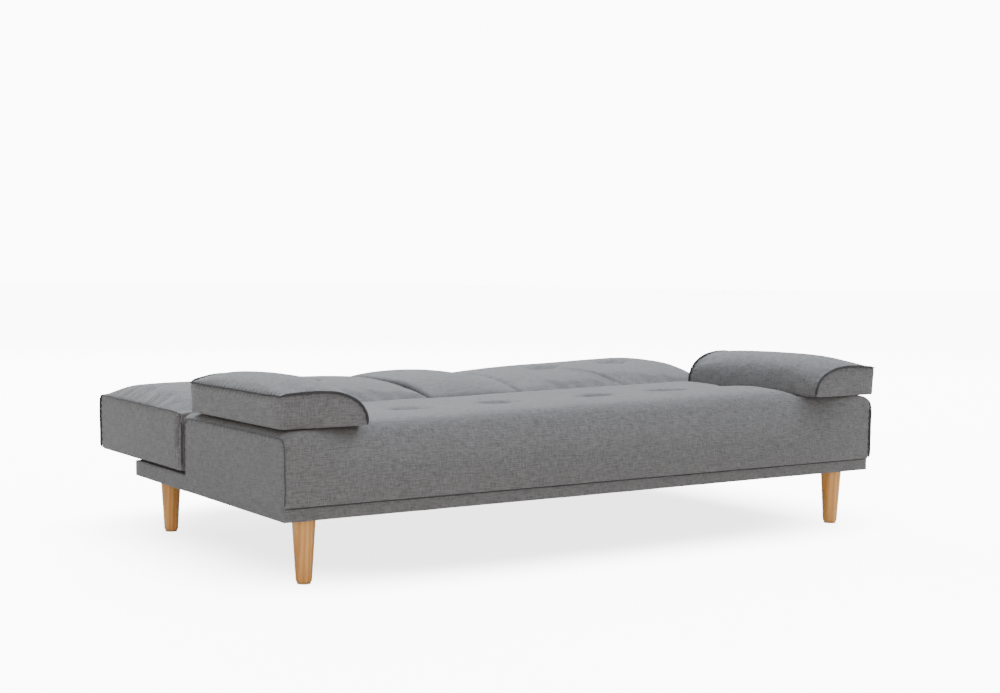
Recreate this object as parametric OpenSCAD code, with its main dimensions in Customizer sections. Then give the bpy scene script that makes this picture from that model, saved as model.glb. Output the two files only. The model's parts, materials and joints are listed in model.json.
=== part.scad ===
// Three-seat futon sofa bed shown laid flat: a padded seat on a low timber base with four
// turned legs, a backrest that folds up on a hinge at each end, a console that folds out of
// the middle of the backrest, and two loose bolsters that lie on the ends of the seat.
// Millimetres. +Z is up, X runs along the length, the seat's front faces -Y, and the origin
// lies on the floor under the middle of the whole piece.

/* [Overall] */
// Length of the timber base
base_w = 1800; // [1700:10:1960]
// Depth of the seat, from the base's front to the fold
seat_d = 550; // [530:5:600]
// Depth of the backrest, from the fold to its far edge
back_d = 590; // [570:5:640]
// Height of the base above the floor
leg_h = 150; // [110:5:190]

/* [Base] */
// Height of the low base frame
rail_h = 40; // [36:1:44]
// Thickness of the base timbers
board_t = 22; // [18:1:26]
// How far the base runs back past the fold
base_tail = 335; // [280:5:420]
// Thickness of the cloth under the base
dust_t = 1; // [0.5:0.5:2]

/* [Legs] */
// Diameter of a leg at its top
leg_top_d = 54; // [44:1:64]
// Diameter of a leg at its foot
leg_foot_d = 37; // [28:1:42]
// Distance of a leg's axis from the base's end
leg_inset_x = 78; // [60:1:90]
// Distance of a leg's axis from the base's front and rear
leg_inset_y = 55; // [45:1:70]

/* [Seat] */
// Height of the seat at the fold, above the legs
seat_h = 190; // [185:1:200]
// Rise of the seat's middle above its edges
seat_crown = 41; // [30:1:44]
// Radius of the seat's front edge
front_r = 60; // [40:1:70]
// Radius of the edges that meet at the fold
fold_r = 30; // [24:1:36]
// How far the seat's front stands in front of the base
front_lip = 10; // [6:1:14]

/* [Backrest] */
// Rise of the backrest's middle above its edges
back_crown = 64; // [50:1:68]
// Radius of the backrest's far edge
far_r = 20; // [12:1:28]
// Clear height between the base and the backrest
under_gap = 7; // [5:1:9]
// How far the backrest's ends stand past the base
end_lip = 5; // [0:1:8]

/* [Console] */
// Width of the fold-out console
console_w = 305; // [290:5:330]
// Depth of the console below its axis
console_t = 65; // [63:1:68]
// Diameter of a cup well
cup_d = 82; // [74:1:88]
// Depth of a cup well
cup_depth = 60; // [50:1:62]

/* [Bolsters] */
// Width of a bolster
bolster_w = 225; // [200:5:235]
// Length of a bolster
bolster_l = 497; // [460:1:500]
// Height of a bolster's upright side
bolster_side = 76; // [70:1:88]
// Rise of a bolster's top above its upright side
bolster_crown = 25; // [14:1:28]

/* [Hidden] */
$fn = 64;

cloth = [0.60, 0.61, 0.63];
timber = [0.80, 0.66, 0.47];
beech = [0.86, 0.68, 0.46];
steel = [0.55, 0.56, 0.58];
foam_yellow = [0.93, 0.88, 0.70];
black_plastic = [0.10, 0.10, 0.11];
web_black = [0.16, 0.16, 0.17];

// Steps along a small edge radius and along a long crown.
edge_steps = 6;
crown_steps = 12;
cover_t = 2;
hair = 0.5;

// Places across the depth. The whole piece is centred on the origin.
total_d = front_lip + seat_d + back_d;
seat_front = -total_d / 2;
base_front = seat_front + front_lip;
fold_y = base_front + seat_d;
back_far = fold_y + back_d;
base_rear = fold_y + base_tail;
fold_gap = 3;

// Places up the height.
base_z = leg_h + dust_t;
rail_top = leg_h + rail_h - 2;
deck_z = leg_h + 112;
web_t = 2;
web_top = deck_z + 2 * web_t;
seat_edge_z = leg_h + seat_h;
lip_z = leg_h + 30;
back_under_z = leg_h + rail_h + under_gap;
back_board_z = back_under_z + cover_t;
back_board_t = 4;
stile_z = back_board_z + back_board_t + 2;
stile_h = 40;
stile_top = stile_z + stile_h;

// Places along the length.
half_w = base_w / 2;
back_half_w = half_w + end_lip;
timber_half_w = half_w - cover_t;

// Backrest hinge. Its axis lies a little under the edges that meet at the fold.
pivot_drop = 9;
pivot_z = seat_edge_z - pivot_drop;
pivot_r = 4;
run_gap = 0.05;
plate_t = 4;
plate_gap = 0.5;
ear_r = 12;
hinge_bolt_r = 3;
hinge_bolt_head_r = 6;
riser_inner = timber_half_w - board_t;
base_plate_inner = riser_inner - plate_t;
arm_plate_inner = base_plate_inner - plate_gap - plate_t;
pin_head_t = 3;
pin_head_r = 7;
pocket_inner = arm_plate_inner - pin_head_t - 2;
pocket_outer = riser_inner + 1;

// Console. Its axis lies this far behind and above the backrest's axis.
console_run = 118;
console_rise = 10;
console_near_gap = 12;
console_crown = 62;
console_half_w = console_w / 2;
bay_gap = 5;
bay_half_w = console_half_w + bay_gap;
console_y = fold_y + console_run;
console_z = pivot_z + console_rise;
console_bottom = console_z - console_t;
console_near = fold_y + console_near_gap;
console_far = back_far - 2;
console_pin_r = 5;
bush_r = 7;
console_board_t = 18;
console_board_half = console_half_w - cover_t - hair;
console_board_top = console_z + 12;
console_deck_t = 4;
tray_t = 3;
middle_stile_t = 26;
bay_plate_inner = bay_half_w + hair;
bay_plate_outer = bay_plate_inner + plate_t;
cup_x = 68;
cup_y = console_far - 153;

// Tufts, as distances from the middle.
seat_tuft_y = base_front + 275;
back_tuft_y = fold_y + 293;
tuft_inner_x = 161;
tuft_middle_x = 426;
tuft_outer_x = 682;

// Bolsters. Each leans inwards with the crown of the seat.
bolster_lean = 1.5;
left_bolster_z = leg_h + 199.5;
right_bolster_z = leg_h + 205.5;
left_bolster_x = -half_w + 5;
right_bolster_x = half_w + 22;
left_bolster_y = base_front + 21;
right_bolster_y = base_front + 5;
bolster_edge_r = 6;
bolster_round_r = 66;
zip_w = 8;
zip_l = 300;

// Points of an arc from angle a0 to a1 about [cu, cv].
function arc(cu, cv, r, a0, a1, steps) =
    [for (i = [0 : steps]) let (a = a0 + (a1 - a0) * i / steps) [cu + r * cos(a), cv + r * sin(a)]];

// Outline of a crowned pad from u0 to u1. The side at u0 has edge radius r0, the side at u1 has r1,
// both edges reach about the height top, and the middle rises by crown. t insets the whole line.
function pad_outline(u0, u1, bottom, top, crown, r0, r1, t = 0) =
    let (
        tilt = 2 * atan(2 * crown / (u1 - u0 - r0 - r1)),
        lift = top - min(r0, r1) * (1 - cos(tilt)),
        v0 = lift - r0 * cos(tilt),
        v1 = lift - r1 * cos(tilt),
        a = u1 - r1 + r1 * sin(tilt),
        b = u0 + r0 - r0 * sin(tilt),
        big = (a - b) / (2 * sin(tilt))
    )
    concat(
        [[u1 - t, bottom]],
        arc(u1 - r1, v1, r1 - t, 0, 90 - tilt, edge_steps),
        arc((a + b) / 2, lift - big * cos(tilt), big - t, 90 - tilt + 2 * tilt / crown_steps, 90 + tilt,
            crown_steps - 1),
        arc(u0 + r0, v0, r0 - t, 90 + tilt + (90 - tilt) / edge_steps, 180, edge_steps - 1),
        [[u0 + t, bottom]]
    );

module along_x(x0, x1) {
    translate([x0, 0, 0])
        rotate([90, 0, 90])
            linear_extrude(x1 - x0)
                children();
}

module along_y(y0, y1) {
    translate([0, y1, 0])
        rotate([90, 0, 0])
            linear_extrude(y1 - y0)
                children();
}

// A block between two corners.
module block(low, high) {
    translate(low)
        cube(high - low);
}

// A round bar along X.
module bar_x(x0, x1, y, z, r) {
    translate([min(x0, x1), y, z])
        rotate([0, 90, 0])
            cylinder(h = abs(x1 - x0), r = r);
}

// A block between two distances from the middle on side s.
module side_block(s, x0, x1, y0, y1, z0, z1) {
    block([min(s * x0, s * x1), y0, z0], [max(s * x0, s * x1), y1, z1]);
}

// ---------------------------------------------------------------- base

module front_rail() {
    color(timber)
        block([-timber_half_w, base_front + cover_t, base_z],
              [timber_half_w, base_front + cover_t + board_t, deck_z]);
}

rail_y0 = base_front + cover_t + board_t;
rail_y1 = base_rear - cover_t - board_t;

module rear_rail() {
    color(timber)
        block([-timber_half_w, rail_y1, base_z], [timber_half_w, rail_y1 + board_t, rail_top]);
}

module side_rail(s) {
    color(timber)
        side_block(s, timber_half_w - board_t, timber_half_w, rail_y0, rail_y1, base_z, rail_top);
}

cross_x = base_w / 6;

module cross_rails() {
    color(timber)
        for (s = [-1, 1])
            side_block(s, cross_x, cross_x + board_t, rail_y0, rail_y1, base_z, rail_top);
}

riser_rear = fold_y - fold_gap - cover_t;

// Bolts of each hinge plate, measured from the hinge axis.
base_bolt_y = [-60, -32];
base_bolt_drop = 98;
arm_bolt_y = [34, 64];
arm_bolt_drop = 106;

module riser(s) {
    color(timber)
        difference() {
            side_block(s, riser_inner, timber_half_w, rail_y0, riser_rear, rail_top, deck_z);
            for (dy = base_bolt_y)
                bar_x(s * (riser_inner - 1), s * (riser_inner + 16), fold_y + dy,
                      pivot_z - base_bolt_drop, hinge_bolt_r);
        }
}

module seat_rear_board() {
    color(timber)
        block([-pocket_inner, riser_rear - board_t, rail_top], [pocket_inner, riser_rear, deck_z]);
}

module seat_bearers() {
    color(timber)
        for (s = [-1, 1])
            side_block(s, cross_x, cross_x + board_t, rail_y0, riser_rear - board_t, rail_top, deck_z);
}

leg_x = half_w - leg_inset_x;
leg_front_y = base_front + leg_inset_y;
leg_rear_y = base_rear - leg_inset_y;
corner_w = 96;
hanger_r = 4;
hanger_up = 32;
hanger_down = 40;
glide_t = 4;

module at_legs() {
    for (x = [-leg_x, leg_x])
        for (y = [leg_front_y, leg_rear_y])
            translate([x, y, 0])
                children();
}

module corner_blocks() {
    color(timber)
        difference() {
            for (s = [-1, 1]) {
                side_block(s, riser_inner - corner_w, riser_inner, rail_y0, rail_y0 + corner_w,
                           base_z, rail_top);
                side_block(s, riser_inner - corner_w, riser_inner, rail_y1 - corner_w, rail_y1,
                           base_z, rail_top);
            }
            at_legs()
                translate([0, 0, leg_h])
                    cylinder(h = hanger_up, r = hanger_r);
        }
}

module leg(x, y) {
    color(beech)
        translate([x, y, 0])
            difference() {
                translate([0, 0, glide_t])
                    cylinder(h = leg_h - glide_t, d1 = leg_foot_d, d2 = leg_top_d);
                translate([0, 0, leg_h - hanger_down])
                    cylinder(h = hanger_down + 1, r = hanger_r);
            }
}

module hanger_bolts() {
    color(steel)
        at_legs()
            translate([0, 0, leg_h - hanger_down])
                cylinder(h = hanger_down + hanger_up, r = hanger_r);
}

module foot_glides() {
    color(black_plastic)
        at_legs()
            cylinder(h = glide_t, d = leg_foot_d - 5);
}

module dust_cover() {
    color(web_black)
        difference() {
            block([-timber_half_w, base_front + cover_t, leg_h],
                  [timber_half_w, base_rear - cover_t, base_z]);
            at_legs()
                translate([0, 0, leg_h - 1])
                    cylinder(h = dust_t + 2, r = hanger_r + hair);
        }
}

// The strips of cloth round the low base: the front strip, and the tail behind the fold.
module base_cover() {
    color(cloth) {
        block([-timber_half_w, base_front, leg_h], [timber_half_w, base_front + cover_t, lip_z]);
        difference() {
            block([-half_w, riser_rear, leg_h], [half_w, base_rear, rail_top]);
            block([-timber_half_w, riser_rear - 1, leg_h - 1],
                  [timber_half_w, base_rear - cover_t, rail_top + 1]);
        }
    }
}

// ---------------------------------------------------------------- seat

strap_w = 60;
seat_strap_count = 10;
cross_strap_count = 3;

module seat_webbing() {
    strap_pitch = 2 * timber_half_w / seat_strap_count;
    cross_pitch = (riser_rear - rail_y0) / cross_strap_count;
    color(web_black) {
        for (i = [0 : seat_strap_count - 1])
            translate([(i - (seat_strap_count - 1) / 2) * strap_pitch - strap_w / 2, 0, 0])
                block([0, base_front + cover_t, deck_z], [strap_w, riser_rear, deck_z + web_t]);
        for (i = [0 : cross_strap_count - 1])
            translate([0, rail_y0 + (i + 0.5) * cross_pitch - strap_w / 2, 0])
                block([-pocket_inner, 0, deck_z + web_t], [pocket_inner, strap_w, web_top]);
    }
}

// The seat is level under each bolster, and rises from there to its middle.
end_r = 25;
end_z = seat_edge_z + 8;
end_rise = 34;
rise_from = half_w - 240;
rise_to = half_w - 520;
reach = 1;

function end_height(x) = end_z + end_rise * (1 - cos(180 * (rise_from - x) / (rise_from - rise_to))) / 2;

// Half of the seat's outline across its length, from its middle out to the end, inset by t.
function seat_end_outline(t) = concat(
    [for (i = [0 : crown_steps])
        let (x = rise_to + (rise_from - rise_to) * i / crown_steps) [x, end_height(x) - t]],
    [for (p = arc(half_w - end_r, end_z - end_r, end_r - t, 90, 0, edge_steps)) p]
);

function mirrored(points) = [for (i = [len(points) - 1 : -1 : 0]) [-points[i][0], points[i][1]]];

function seat_outline_x(bottom, t) = concat(
    [[-half_w + t, bottom]],
    mirrored(seat_end_outline(t)),
    seat_end_outline(t),
    [[half_w - t, bottom]]
);

// The whole seat form, inset by t.
module seat_form(t, bottom) {
    intersection() {
        along_x(-half_w - reach, half_w + reach)
            polygon(pad_outline(seat_front, fold_y - fold_gap, bottom, seat_edge_z, seat_crown,
                                front_r, fold_r, t));
        along_y(seat_front - reach, fold_y + reach)
            polygon(seat_outline_x(bottom, t));
    }
}

// Room for both hinge plates and the pin, beside each end riser.
module hinge_pocket(s, y0, y1) {
    side_block(s, pocket_inner, pocket_outer, fold_y + y0, fold_y + y1,
               back_under_z - 10, pivot_z + ear_r + 2);
}

module tie_holes(y, xs) {
    for (x = xs)
        translate([x, y, web_top - 1]) {
            cylinder(h = tie_top - web_top + 1 - tie_disc_t, r = tie_r + hair);
            cylinder(h = tie_disc_t + 3, r = tie_disc_r + hair);
            translate([0, 0, tie_top - web_top + 1 - tie_disc_t - hair])
                cylinder(h = tie_disc_t + 2 * hair, r = tie_disc_r + hair);
        }
}

tie_r = 1.5;
tie_disc_r = 10;
tie_disc_t = 3;
tie_top = leg_h + 192;
seat_tuft_xs = [
    -tuft_outer_x, -tuft_middle_x, -tuft_inner_x, tuft_inner_x, tuft_middle_x, tuft_outer_x
];
back_tuft_xs = [-tuft_outer_x, -tuft_middle_x, tuft_middle_x, tuft_outer_x];

module tuft_ties(y, xs) {
    color(black_plastic)
        for (x = xs)
            translate([x, y, web_top]) {
                cylinder(h = tie_disc_t, r = tie_disc_r);
                cylinder(h = tie_top - web_top, r = tie_r);
                translate([0, 0, tie_top - web_top - tie_disc_t])
                    cylinder(h = tie_disc_t, r = tie_disc_r);
            }
}

// The seat's foam, with an apron down the front of the base.
module seat_foam() {
    color(foam_yellow)
        difference() {
            seat_form(cover_t, lip_z + 2);
            block([-half_w, base_front + cover_t, leg_h], [half_w, fold_y, web_top]);
            for (s = [-1, 1])
                hinge_pocket(s, -78, 20);
            tie_holes(seat_tuft_y, seat_tuft_xs);
        }
}

// The seat's cover. Its ends run down over the base to its lower edge.
module seat_cover() {
    color(cloth)
        difference() {
            union() {
                seat_form(0, lip_z);
                for (s = [-1, 1])
                    side_block(s, timber_half_w, half_w, base_front, riser_rear, leg_h, lip_z + 1);
            }
            seat_form(cover_t, lip_z - 1);
            for (s = [-1, 1])
                hinge_pocket(s, -14, 20);
            block([-half_w - 1, riser_rear, lip_z - 1], [half_w + 1, fold_y, rail_top]);
        }
}

// ---------------------------------------------------------------- backrest hinges

// One plate of the backrest hinge: an ear about the axis and a foot that is bolted to a board.
module hinge_plate(points, bore_r, bolts, drop) {
    difference() {
        union() {
            polygon([for (p = points) [fold_y + p[0], pivot_z + p[1]]]);
            translate([fold_y, pivot_z])
                circle(r = ear_r);
        }
        translate([fold_y, pivot_z])
            circle(r = bore_r);
        for (dy = bolts)
            translate([fold_y + dy, pivot_z - drop])
                circle(r = hinge_bolt_r + run_gap);
    }
}

base_plate_points = [[-6, 10], [-74, -78], [-74, -118], [-15, -118], [-15, -40], [-11.5, -3]];
arm_plate_points = [[6, 10], [11.5, -3], [15, -40], [15, -123], [78, -123], [78, -90], [48, -84]];

module hinge_base(s) {
    color(steel)
        along_x(s > 0 ? base_plate_inner : -riser_inner, s > 0 ? riser_inner : -base_plate_inner)
            hinge_plate(base_plate_points, pivot_r, base_bolt_y, base_bolt_drop);
}

module hinge_arm(s) {
    outer = arm_plate_inner + plate_t;
    color(steel)
        along_x(s > 0 ? arm_plate_inner : -outer, s > 0 ? outer : -arm_plate_inner)
            hinge_plate(arm_plate_points, pivot_r + run_gap, arm_bolt_y, arm_bolt_drop);
}

module hinge_pins() {
    color(steel)
        for (s = [-1, 1]) {
            bar_x(s * (arm_plate_inner - 0.1), s * riser_inner, fold_y, pivot_z, pivot_r);
            bar_x(s * (arm_plate_inner - 0.1 - pin_head_t), s * (arm_plate_inner - 0.1), fold_y, pivot_z,
                  pin_head_r);
        }
}

// A bolt along X whose head bears on a plate at x0 and whose shank ends at x1.
module bolt_x(s, x0, x1, y, z) {
    bar_x(s * x0, s * x1, y, z, hinge_bolt_r);
    bar_x(s * (x0 - bolt_head_t), s * x0, y, z, hinge_bolt_head_r);
}

bolt_head_t = 3;

module seat_hinge_bolts() {
    color(steel)
        for (s = [-1, 1])
            for (dy = base_bolt_y)
                bolt_x(s, base_plate_inner, riser_inner + 15, fold_y + dy, pivot_z - base_bolt_drop);
}

pad_y = rail_y1 + board_t / 2;
pad_x = 560;

module backrest_pads() {
    color(black_plastic)
        for (x = [-pad_x, 0, pad_x])
            translate([x, pad_y, rail_top])
                cylinder(h = back_under_z - 0.3 - rail_top, r = 9);
}

// ---------------------------------------------------------------- backrest

back_timber_near = fold_y + fold_gap + cover_t + 2;
back_timber_far = back_far - cover_t - 3;
near_rail_w = 28;
far_rail_w = 40;
stile_inner = arm_plate_inner + plate_t;
stile_outer = back_half_w - cover_t - 2;

module backrest_near_rail() {
    color(timber)
        block([-pocket_inner, back_timber_near, stile_z],
              [pocket_inner, back_timber_near + near_rail_w, stile_top]);
}

module backrest_far_rail() {
    color(timber)
        block([-stile_inner, back_timber_far - far_rail_w, stile_z],
              [stile_inner, back_timber_far, stile_top]);
}

module stile(s) {
    color(timber)
        difference() {
            side_block(s, stile_inner, stile_outer, back_timber_near, back_timber_far, stile_z, stile_top);
            for (dy = arm_bolt_y)
                bar_x(s * (stile_inner - 1), s * (stile_inner + 16), fold_y + dy,
                      pivot_z - arm_bolt_drop, hinge_bolt_r);
        }
}

bay_bolt_y = [-10, 10];
bay_bolt_z = stile_z + stile_h / 2;

module middle_stiles() {
    color(timber)
        difference() {
            for (s = [-1, 1])
                side_block(s, bay_plate_outer, bay_plate_outer + middle_stile_t,
                           back_timber_near + near_rail_w, back_timber_far - far_rail_w,
                           stile_z, stile_top);
            for (s = [-1, 1])
                for (dy = bay_bolt_y)
                    bar_x(s * (bay_plate_outer - 1), s * (bay_plate_outer + 16), console_y + dy,
                          bay_bolt_z, hinge_bolt_r);
        }
}

module backrest_board() {
    color(timber)
        block([-stile_outer, back_timber_near, back_board_z],
              [stile_outer, back_timber_far, back_board_z + back_board_t]);
}

back_strap_count = 4;
back_strap_inner = bay_plate_outer + middle_stile_t / 2;

module backrest_webbing() {
    strap_pitch = (stile_inner - back_strap_inner) / back_strap_count;
    color(web_black)
        for (s = [-1, 1])
            for (i = [0 : back_strap_count - 1])
                side_block(s, back_strap_inner + (i + 0.5) * strap_pitch - strap_w / 2,
                           back_strap_inner + (i + 0.5) * strap_pitch + strap_w / 2,
                           back_timber_near, back_timber_far, stile_top, stile_top + web_t);
}

back_mask_z = seat_edge_z + 50;
back_mask_crown = 14;
back_end_r = 60;
bay_side_r = 14;

// One half of the backrest, on side s, inset by t.
module back_form(s, t, bottom) {
    x0 = s > 0 ? bay_half_w : -back_half_w;
    x1 = s > 0 ? back_half_w : -bay_half_w;
    intersection() {
        along_x(x0 - reach, x1 + reach)
            polygon(pad_outline(fold_y + fold_gap, back_far, bottom, seat_edge_z, back_crown,
                                fold_r, far_r, t));
        along_y(fold_y - reach, back_far + reach)
            polygon(pad_outline(x0, x1, bottom, back_mask_z, back_mask_crown,
                                s > 0 ? bay_side_r : back_end_r, s > 0 ? back_end_r : bay_side_r, t));
    }
}

// Room for the console's hinge plates, beside the bay.
module bay_pocket(s) {
    side_block(s, bay_half_w - 1, bay_plate_outer + bolt_head_t + 1, console_y - 21, console_y + 21,
               back_under_z, console_z + 20);
}

module backrest_foam(s) {
    color(foam_yellow)
        difference() {
            back_form(s, cover_t, stile_top + web_t);
            hinge_pocket(s, -20, 82);
            bay_pocket(s);
            translate([0, 0, stile_top + web_t - web_top])
                tie_holes(back_tuft_y, [s * tuft_middle_x, s * tuft_outer_x]);
        }
}

module backrest_cover(s) {
    color(cloth)
        difference() {
            back_form(s, 0, back_board_z);
            back_form(s, cover_t, back_board_z - 1);
            hinge_pocket(s, -20, 14);
            bay_pocket(s);
            side_block(s, bay_half_w - 1, bay_half_w + cover_t + 1, fold_y + fold_gap + cover_t,
                       back_far - cover_t, back_board_z - 1, stile_top + 1);
        }
}

module backrest_tuft_ties() {
    translate([0, 0, stile_top + web_t - web_top])
        tuft_ties(back_tuft_y, back_tuft_xs);
}

// The cloth under the backrest. It turns up over the far rail between the two halves.
module backrest_under_cover() {
    color(web_black)
        union() {
            block([-back_half_w, fold_y + fold_gap, back_under_z], [back_half_w, back_far, back_board_z]);
            block([-bay_half_w + cover_t, back_far - cover_t, back_under_z],
                  [bay_half_w - cover_t, back_far, stile_top]);
        }
}

// Bolts of the end hinges and of the console's plates.
module backrest_hinge_bolts() {
    color(steel)
        for (s = [-1, 1]) {
            for (dy = arm_bolt_y)
                bolt_x(s, arm_plate_inner, stile_inner + 15, fold_y + dy, pivot_z - arm_bolt_drop);
            for (dy = bay_bolt_y)
                bolt_x(s, bay_plate_inner, bay_plate_outer + 15, console_y + dy, bay_bolt_z);
        }
}

console_ear_r = 14;

module console_hinge_plates() {
    color(steel)
        for (s = [-1, 1])
            along_x(s > 0 ? bay_plate_inner : -bay_plate_outer, s > 0 ? bay_plate_outer : -bay_plate_inner)
                difference() {
                    union() {
                        translate([console_y - console_ear_r - 4, stile_z + 2])
                            square([2 * console_ear_r + 8, stile_h - 2]);
                        translate([console_y - console_ear_r, stile_z + 2])
                            square([2 * console_ear_r, console_z - stile_z - 2]);
                        translate([console_y, console_z])
                            circle(r = console_ear_r);
                    }
                    translate([console_y, console_z])
                        circle(r = console_pin_r + run_gap);
                    for (dy = bay_bolt_y)
                        translate([console_y + dy, bay_bolt_z])
                            circle(r = hinge_bolt_r + run_gap);
                }
}

module console_pins() {
    color(steel)
        for (s = [-1, 1]) {
            bar_x(s * (console_board_half - console_board_t + 1), s * bay_plate_outer, console_y, console_z,
                  console_pin_r);
            bar_x(s * bay_plate_outer, s * (bay_plate_outer + bolt_head_t), console_y, console_z,
                  console_pin_r + 3);
        }
}

// The padded block on the far rail that the console lies on. It closes the bay's far side.
module console_rest() {
    color(cloth)
        block([-bay_half_w + cover_t, back_timber_far - far_rail_w, stile_top],
              [bay_half_w - cover_t, back_far - cover_t, console_bottom - 0.3]);
}

// ---------------------------------------------------------------- console

// The boards form a box in the console's middle. Its near and far ends are foam.
console_board_near = console_near + 72;
console_board_far = console_far - 72;
tray_near = console_near + cover_t + 22;
tray_far = console_far - cover_t - hair;

module console_side_boards() {
    color(timber)
        difference() {
            for (s = [-1, 1])
                side_block(s, console_board_half - console_board_t, console_board_half,
                           console_board_near, console_board_far,
                           console_bottom + tray_t, console_board_top);
            for (s = [-1, 1])
                bar_x(s * (console_board_half - console_board_t - 1), s * (console_board_half + 1),
                      console_y, console_z, bush_r);
        }
}

module console_end_boards() {
    half = console_board_half - console_board_t;
    color(timber)
        for (y = [console_board_near, console_board_far - console_board_t])
            block([-half, y, console_bottom + tray_t], [half, y + console_board_t, console_board_top]);
}

module console_deck() {
    color(timber)
        block([-console_board_half, console_board_near, console_board_top],
              [console_board_half, console_board_far, console_board_top + console_deck_t]);
}

module console_bushes() {
    color(black_plastic)
        for (s = [-1, 1])
            difference() {
                bar_x(s * (console_board_half - console_board_t), s * console_board_half, console_y,
                      console_z, bush_r);
                bar_x(s * (console_board_half - console_board_t - 1), s * (console_board_half + 1),
                      console_y, console_z, console_pin_r + run_gap);
            }
}

console_mask_z = seat_edge_z + 48;
console_mask_crown = 14;
console_side_r = 12;
toe = 20;

// The console's form, inset by t. Its near lower edge is cut back so that it clears the rail as it turns.
module console_form(t, bottom) {
    difference() {
        intersection() {
            along_x(-console_half_w - reach, console_half_w + reach)
                polygon(pad_outline(console_near, console_far, bottom, seat_edge_z, console_crown,
                                    fold_r, far_r, t));
            along_y(console_near - reach, console_far + reach)
                polygon(pad_outline(-console_half_w, console_half_w, bottom, console_mask_z,
                                    console_mask_crown, console_side_r, console_side_r, t));
        }
        along_x(-console_half_w - 2 * reach, console_half_w + 2 * reach)
            polygon([
                [console_near - reach, console_bottom - 2 * reach],
                [console_near + toe + t, console_bottom - 2 * reach],
                [console_near + toe + t, console_bottom],
                [console_near - reach, console_bottom + toe + reach + t]
            ]);
    }
}

module console_foam() {
    color(foam_yellow)
        difference() {
            console_form(cover_t, console_bottom + tray_t);
            block([-console_half_w, console_board_near, console_bottom],
                  [console_half_w, console_board_far, console_board_top + console_deck_t]);
        }
}

module console_cover() {
    color(cloth)
        difference() {
            console_form(0, console_bottom);
            console_form(cover_t, console_bottom - 1);
            for (s = [-1, 1])
                bar_x(s * (console_half_w - cover_t - 1), s * (console_half_w + 1), console_y, console_z,
                      console_pin_r + 3);
        }
}

// The tray closes the console's underside. Its two cup wells face up once the console is folded out.
module console_tray() {
    color(black_plastic)
        difference() {
            union() {
                block([-console_board_half, tray_near, console_bottom],
                      [console_board_half, tray_far, console_bottom + tray_t]);
                for (s = [-1, 1])
                    translate([s * cup_x, cup_y, console_bottom])
                        cylinder(h = cup_depth + tray_t, d = cup_d + 2 * tray_t);
            }
            for (s = [-1, 1])
                translate([s * cup_x, cup_y, console_bottom - 1])
                    cylinder(h = cup_depth + 1, d = cup_d);
        }
}

// ---------------------------------------------------------------- bolsters

// Puts a bolster drawn with its upright side at x = 0 and its round side towards +x in its place.
module place_bolster(s) {
    x = s > 0 ? right_bolster_x : left_bolster_x;
    y = s > 0 ? right_bolster_y : left_bolster_y;
    z = s > 0 ? right_bolster_z : left_bolster_z;
    translate([x, y, z])
        mirror([s > 0 ? 1 : 0, 0, 0])
            rotate([0, -bolster_lean, 0])
                children();
}

module bolster_form(t) {
    along_y(t, bolster_l - t)
        polygon(pad_outline(0, bolster_w, t, bolster_side, bolster_crown, bolster_edge_r,
                            bolster_round_r, t));
}

module bolster_slot(depth) {
    translate([bolster_w / 2 - zip_w / 2, (bolster_l - zip_l) / 2, 0])
        cube([zip_w, zip_l, depth]);
}

module bolster_cover(s) {
    color(cloth)
        place_bolster(s)
            difference() {
                bolster_form(0);
                bolster_form(cover_t);
                translate([0, 0, -1])
                    bolster_slot(cover_t + 1.5);
            }
}

module bolster_fill(s) {
    color("white")
        place_bolster(s)
            bolster_form(cover_t);
}

module bolster_zip(s) {
    color(steel)
        place_bolster(s)
            bolster_slot(cover_t);
}

front_rail();
rear_rail();
side_rail(-1);  // left_side_rail
side_rail(1);  // right_side_rail
cross_rails();
riser(-1);  // left_riser
riser(1);  // right_riser
seat_rear_board();
seat_bearers();
corner_blocks();
leg(-leg_x, leg_front_y);  // front_left_leg
leg(leg_x, leg_front_y);  // front_right_leg
leg(-leg_x, leg_rear_y);  // rear_left_leg
leg(leg_x, leg_rear_y);  // rear_right_leg
hanger_bolts();
foot_glides();
dust_cover();
base_cover();
seat_webbing();
seat_foam();
tuft_ties(seat_tuft_y, seat_tuft_xs);  // seat_tuft_ties
seat_cover();
hinge_base(-1);  // left_hinge_base
hinge_base(1);  // right_hinge_base
hinge_pins();
seat_hinge_bolts();
backrest_pads();
backrest_near_rail();
backrest_far_rail();
stile(-1);  // left_stile
stile(1);  // right_stile
middle_stiles();
backrest_board();
backrest_webbing();
backrest_foam(-1);  // left_backrest_foam
backrest_foam(1);  // right_backrest_foam
backrest_cover(-1);  // left_backrest_cover
backrest_cover(1);  // right_backrest_cover
backrest_tuft_ties();
backrest_under_cover();
hinge_arm(-1);  // left_hinge_arm
hinge_arm(1);  // right_hinge_arm
backrest_hinge_bolts();
console_hinge_plates();
console_pins();
console_rest();
console_side_boards();
console_end_boards();
console_deck();
console_bushes();
console_foam();
console_cover();
console_tray();
bolster_cover(-1);  // left_bolster_cover
bolster_fill(-1);  // left_bolster_fill
bolster_zip(-1);  // left_bolster_zip
bolster_cover(1);  // right_bolster_cover
bolster_fill(1);  // right_bolster_fill
bolster_zip(1);  // right_bolster_zip
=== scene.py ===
"""A grey three-seat futon sofa bed laid flat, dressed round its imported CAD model.

Everything is in metres in the CAD frame: X along the length, -Y to the front, Z up. Sizes come from the
CAD nodes' boxes. Each cushion is a grid of cells shaped by a few curves, then puffed by a short cloth
simulation, and its sewn edges are swept along the finished cloth.
"""
import json
import math

import bmesh
import bpy
import numpy as np
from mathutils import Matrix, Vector, kdtree, noise


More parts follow.
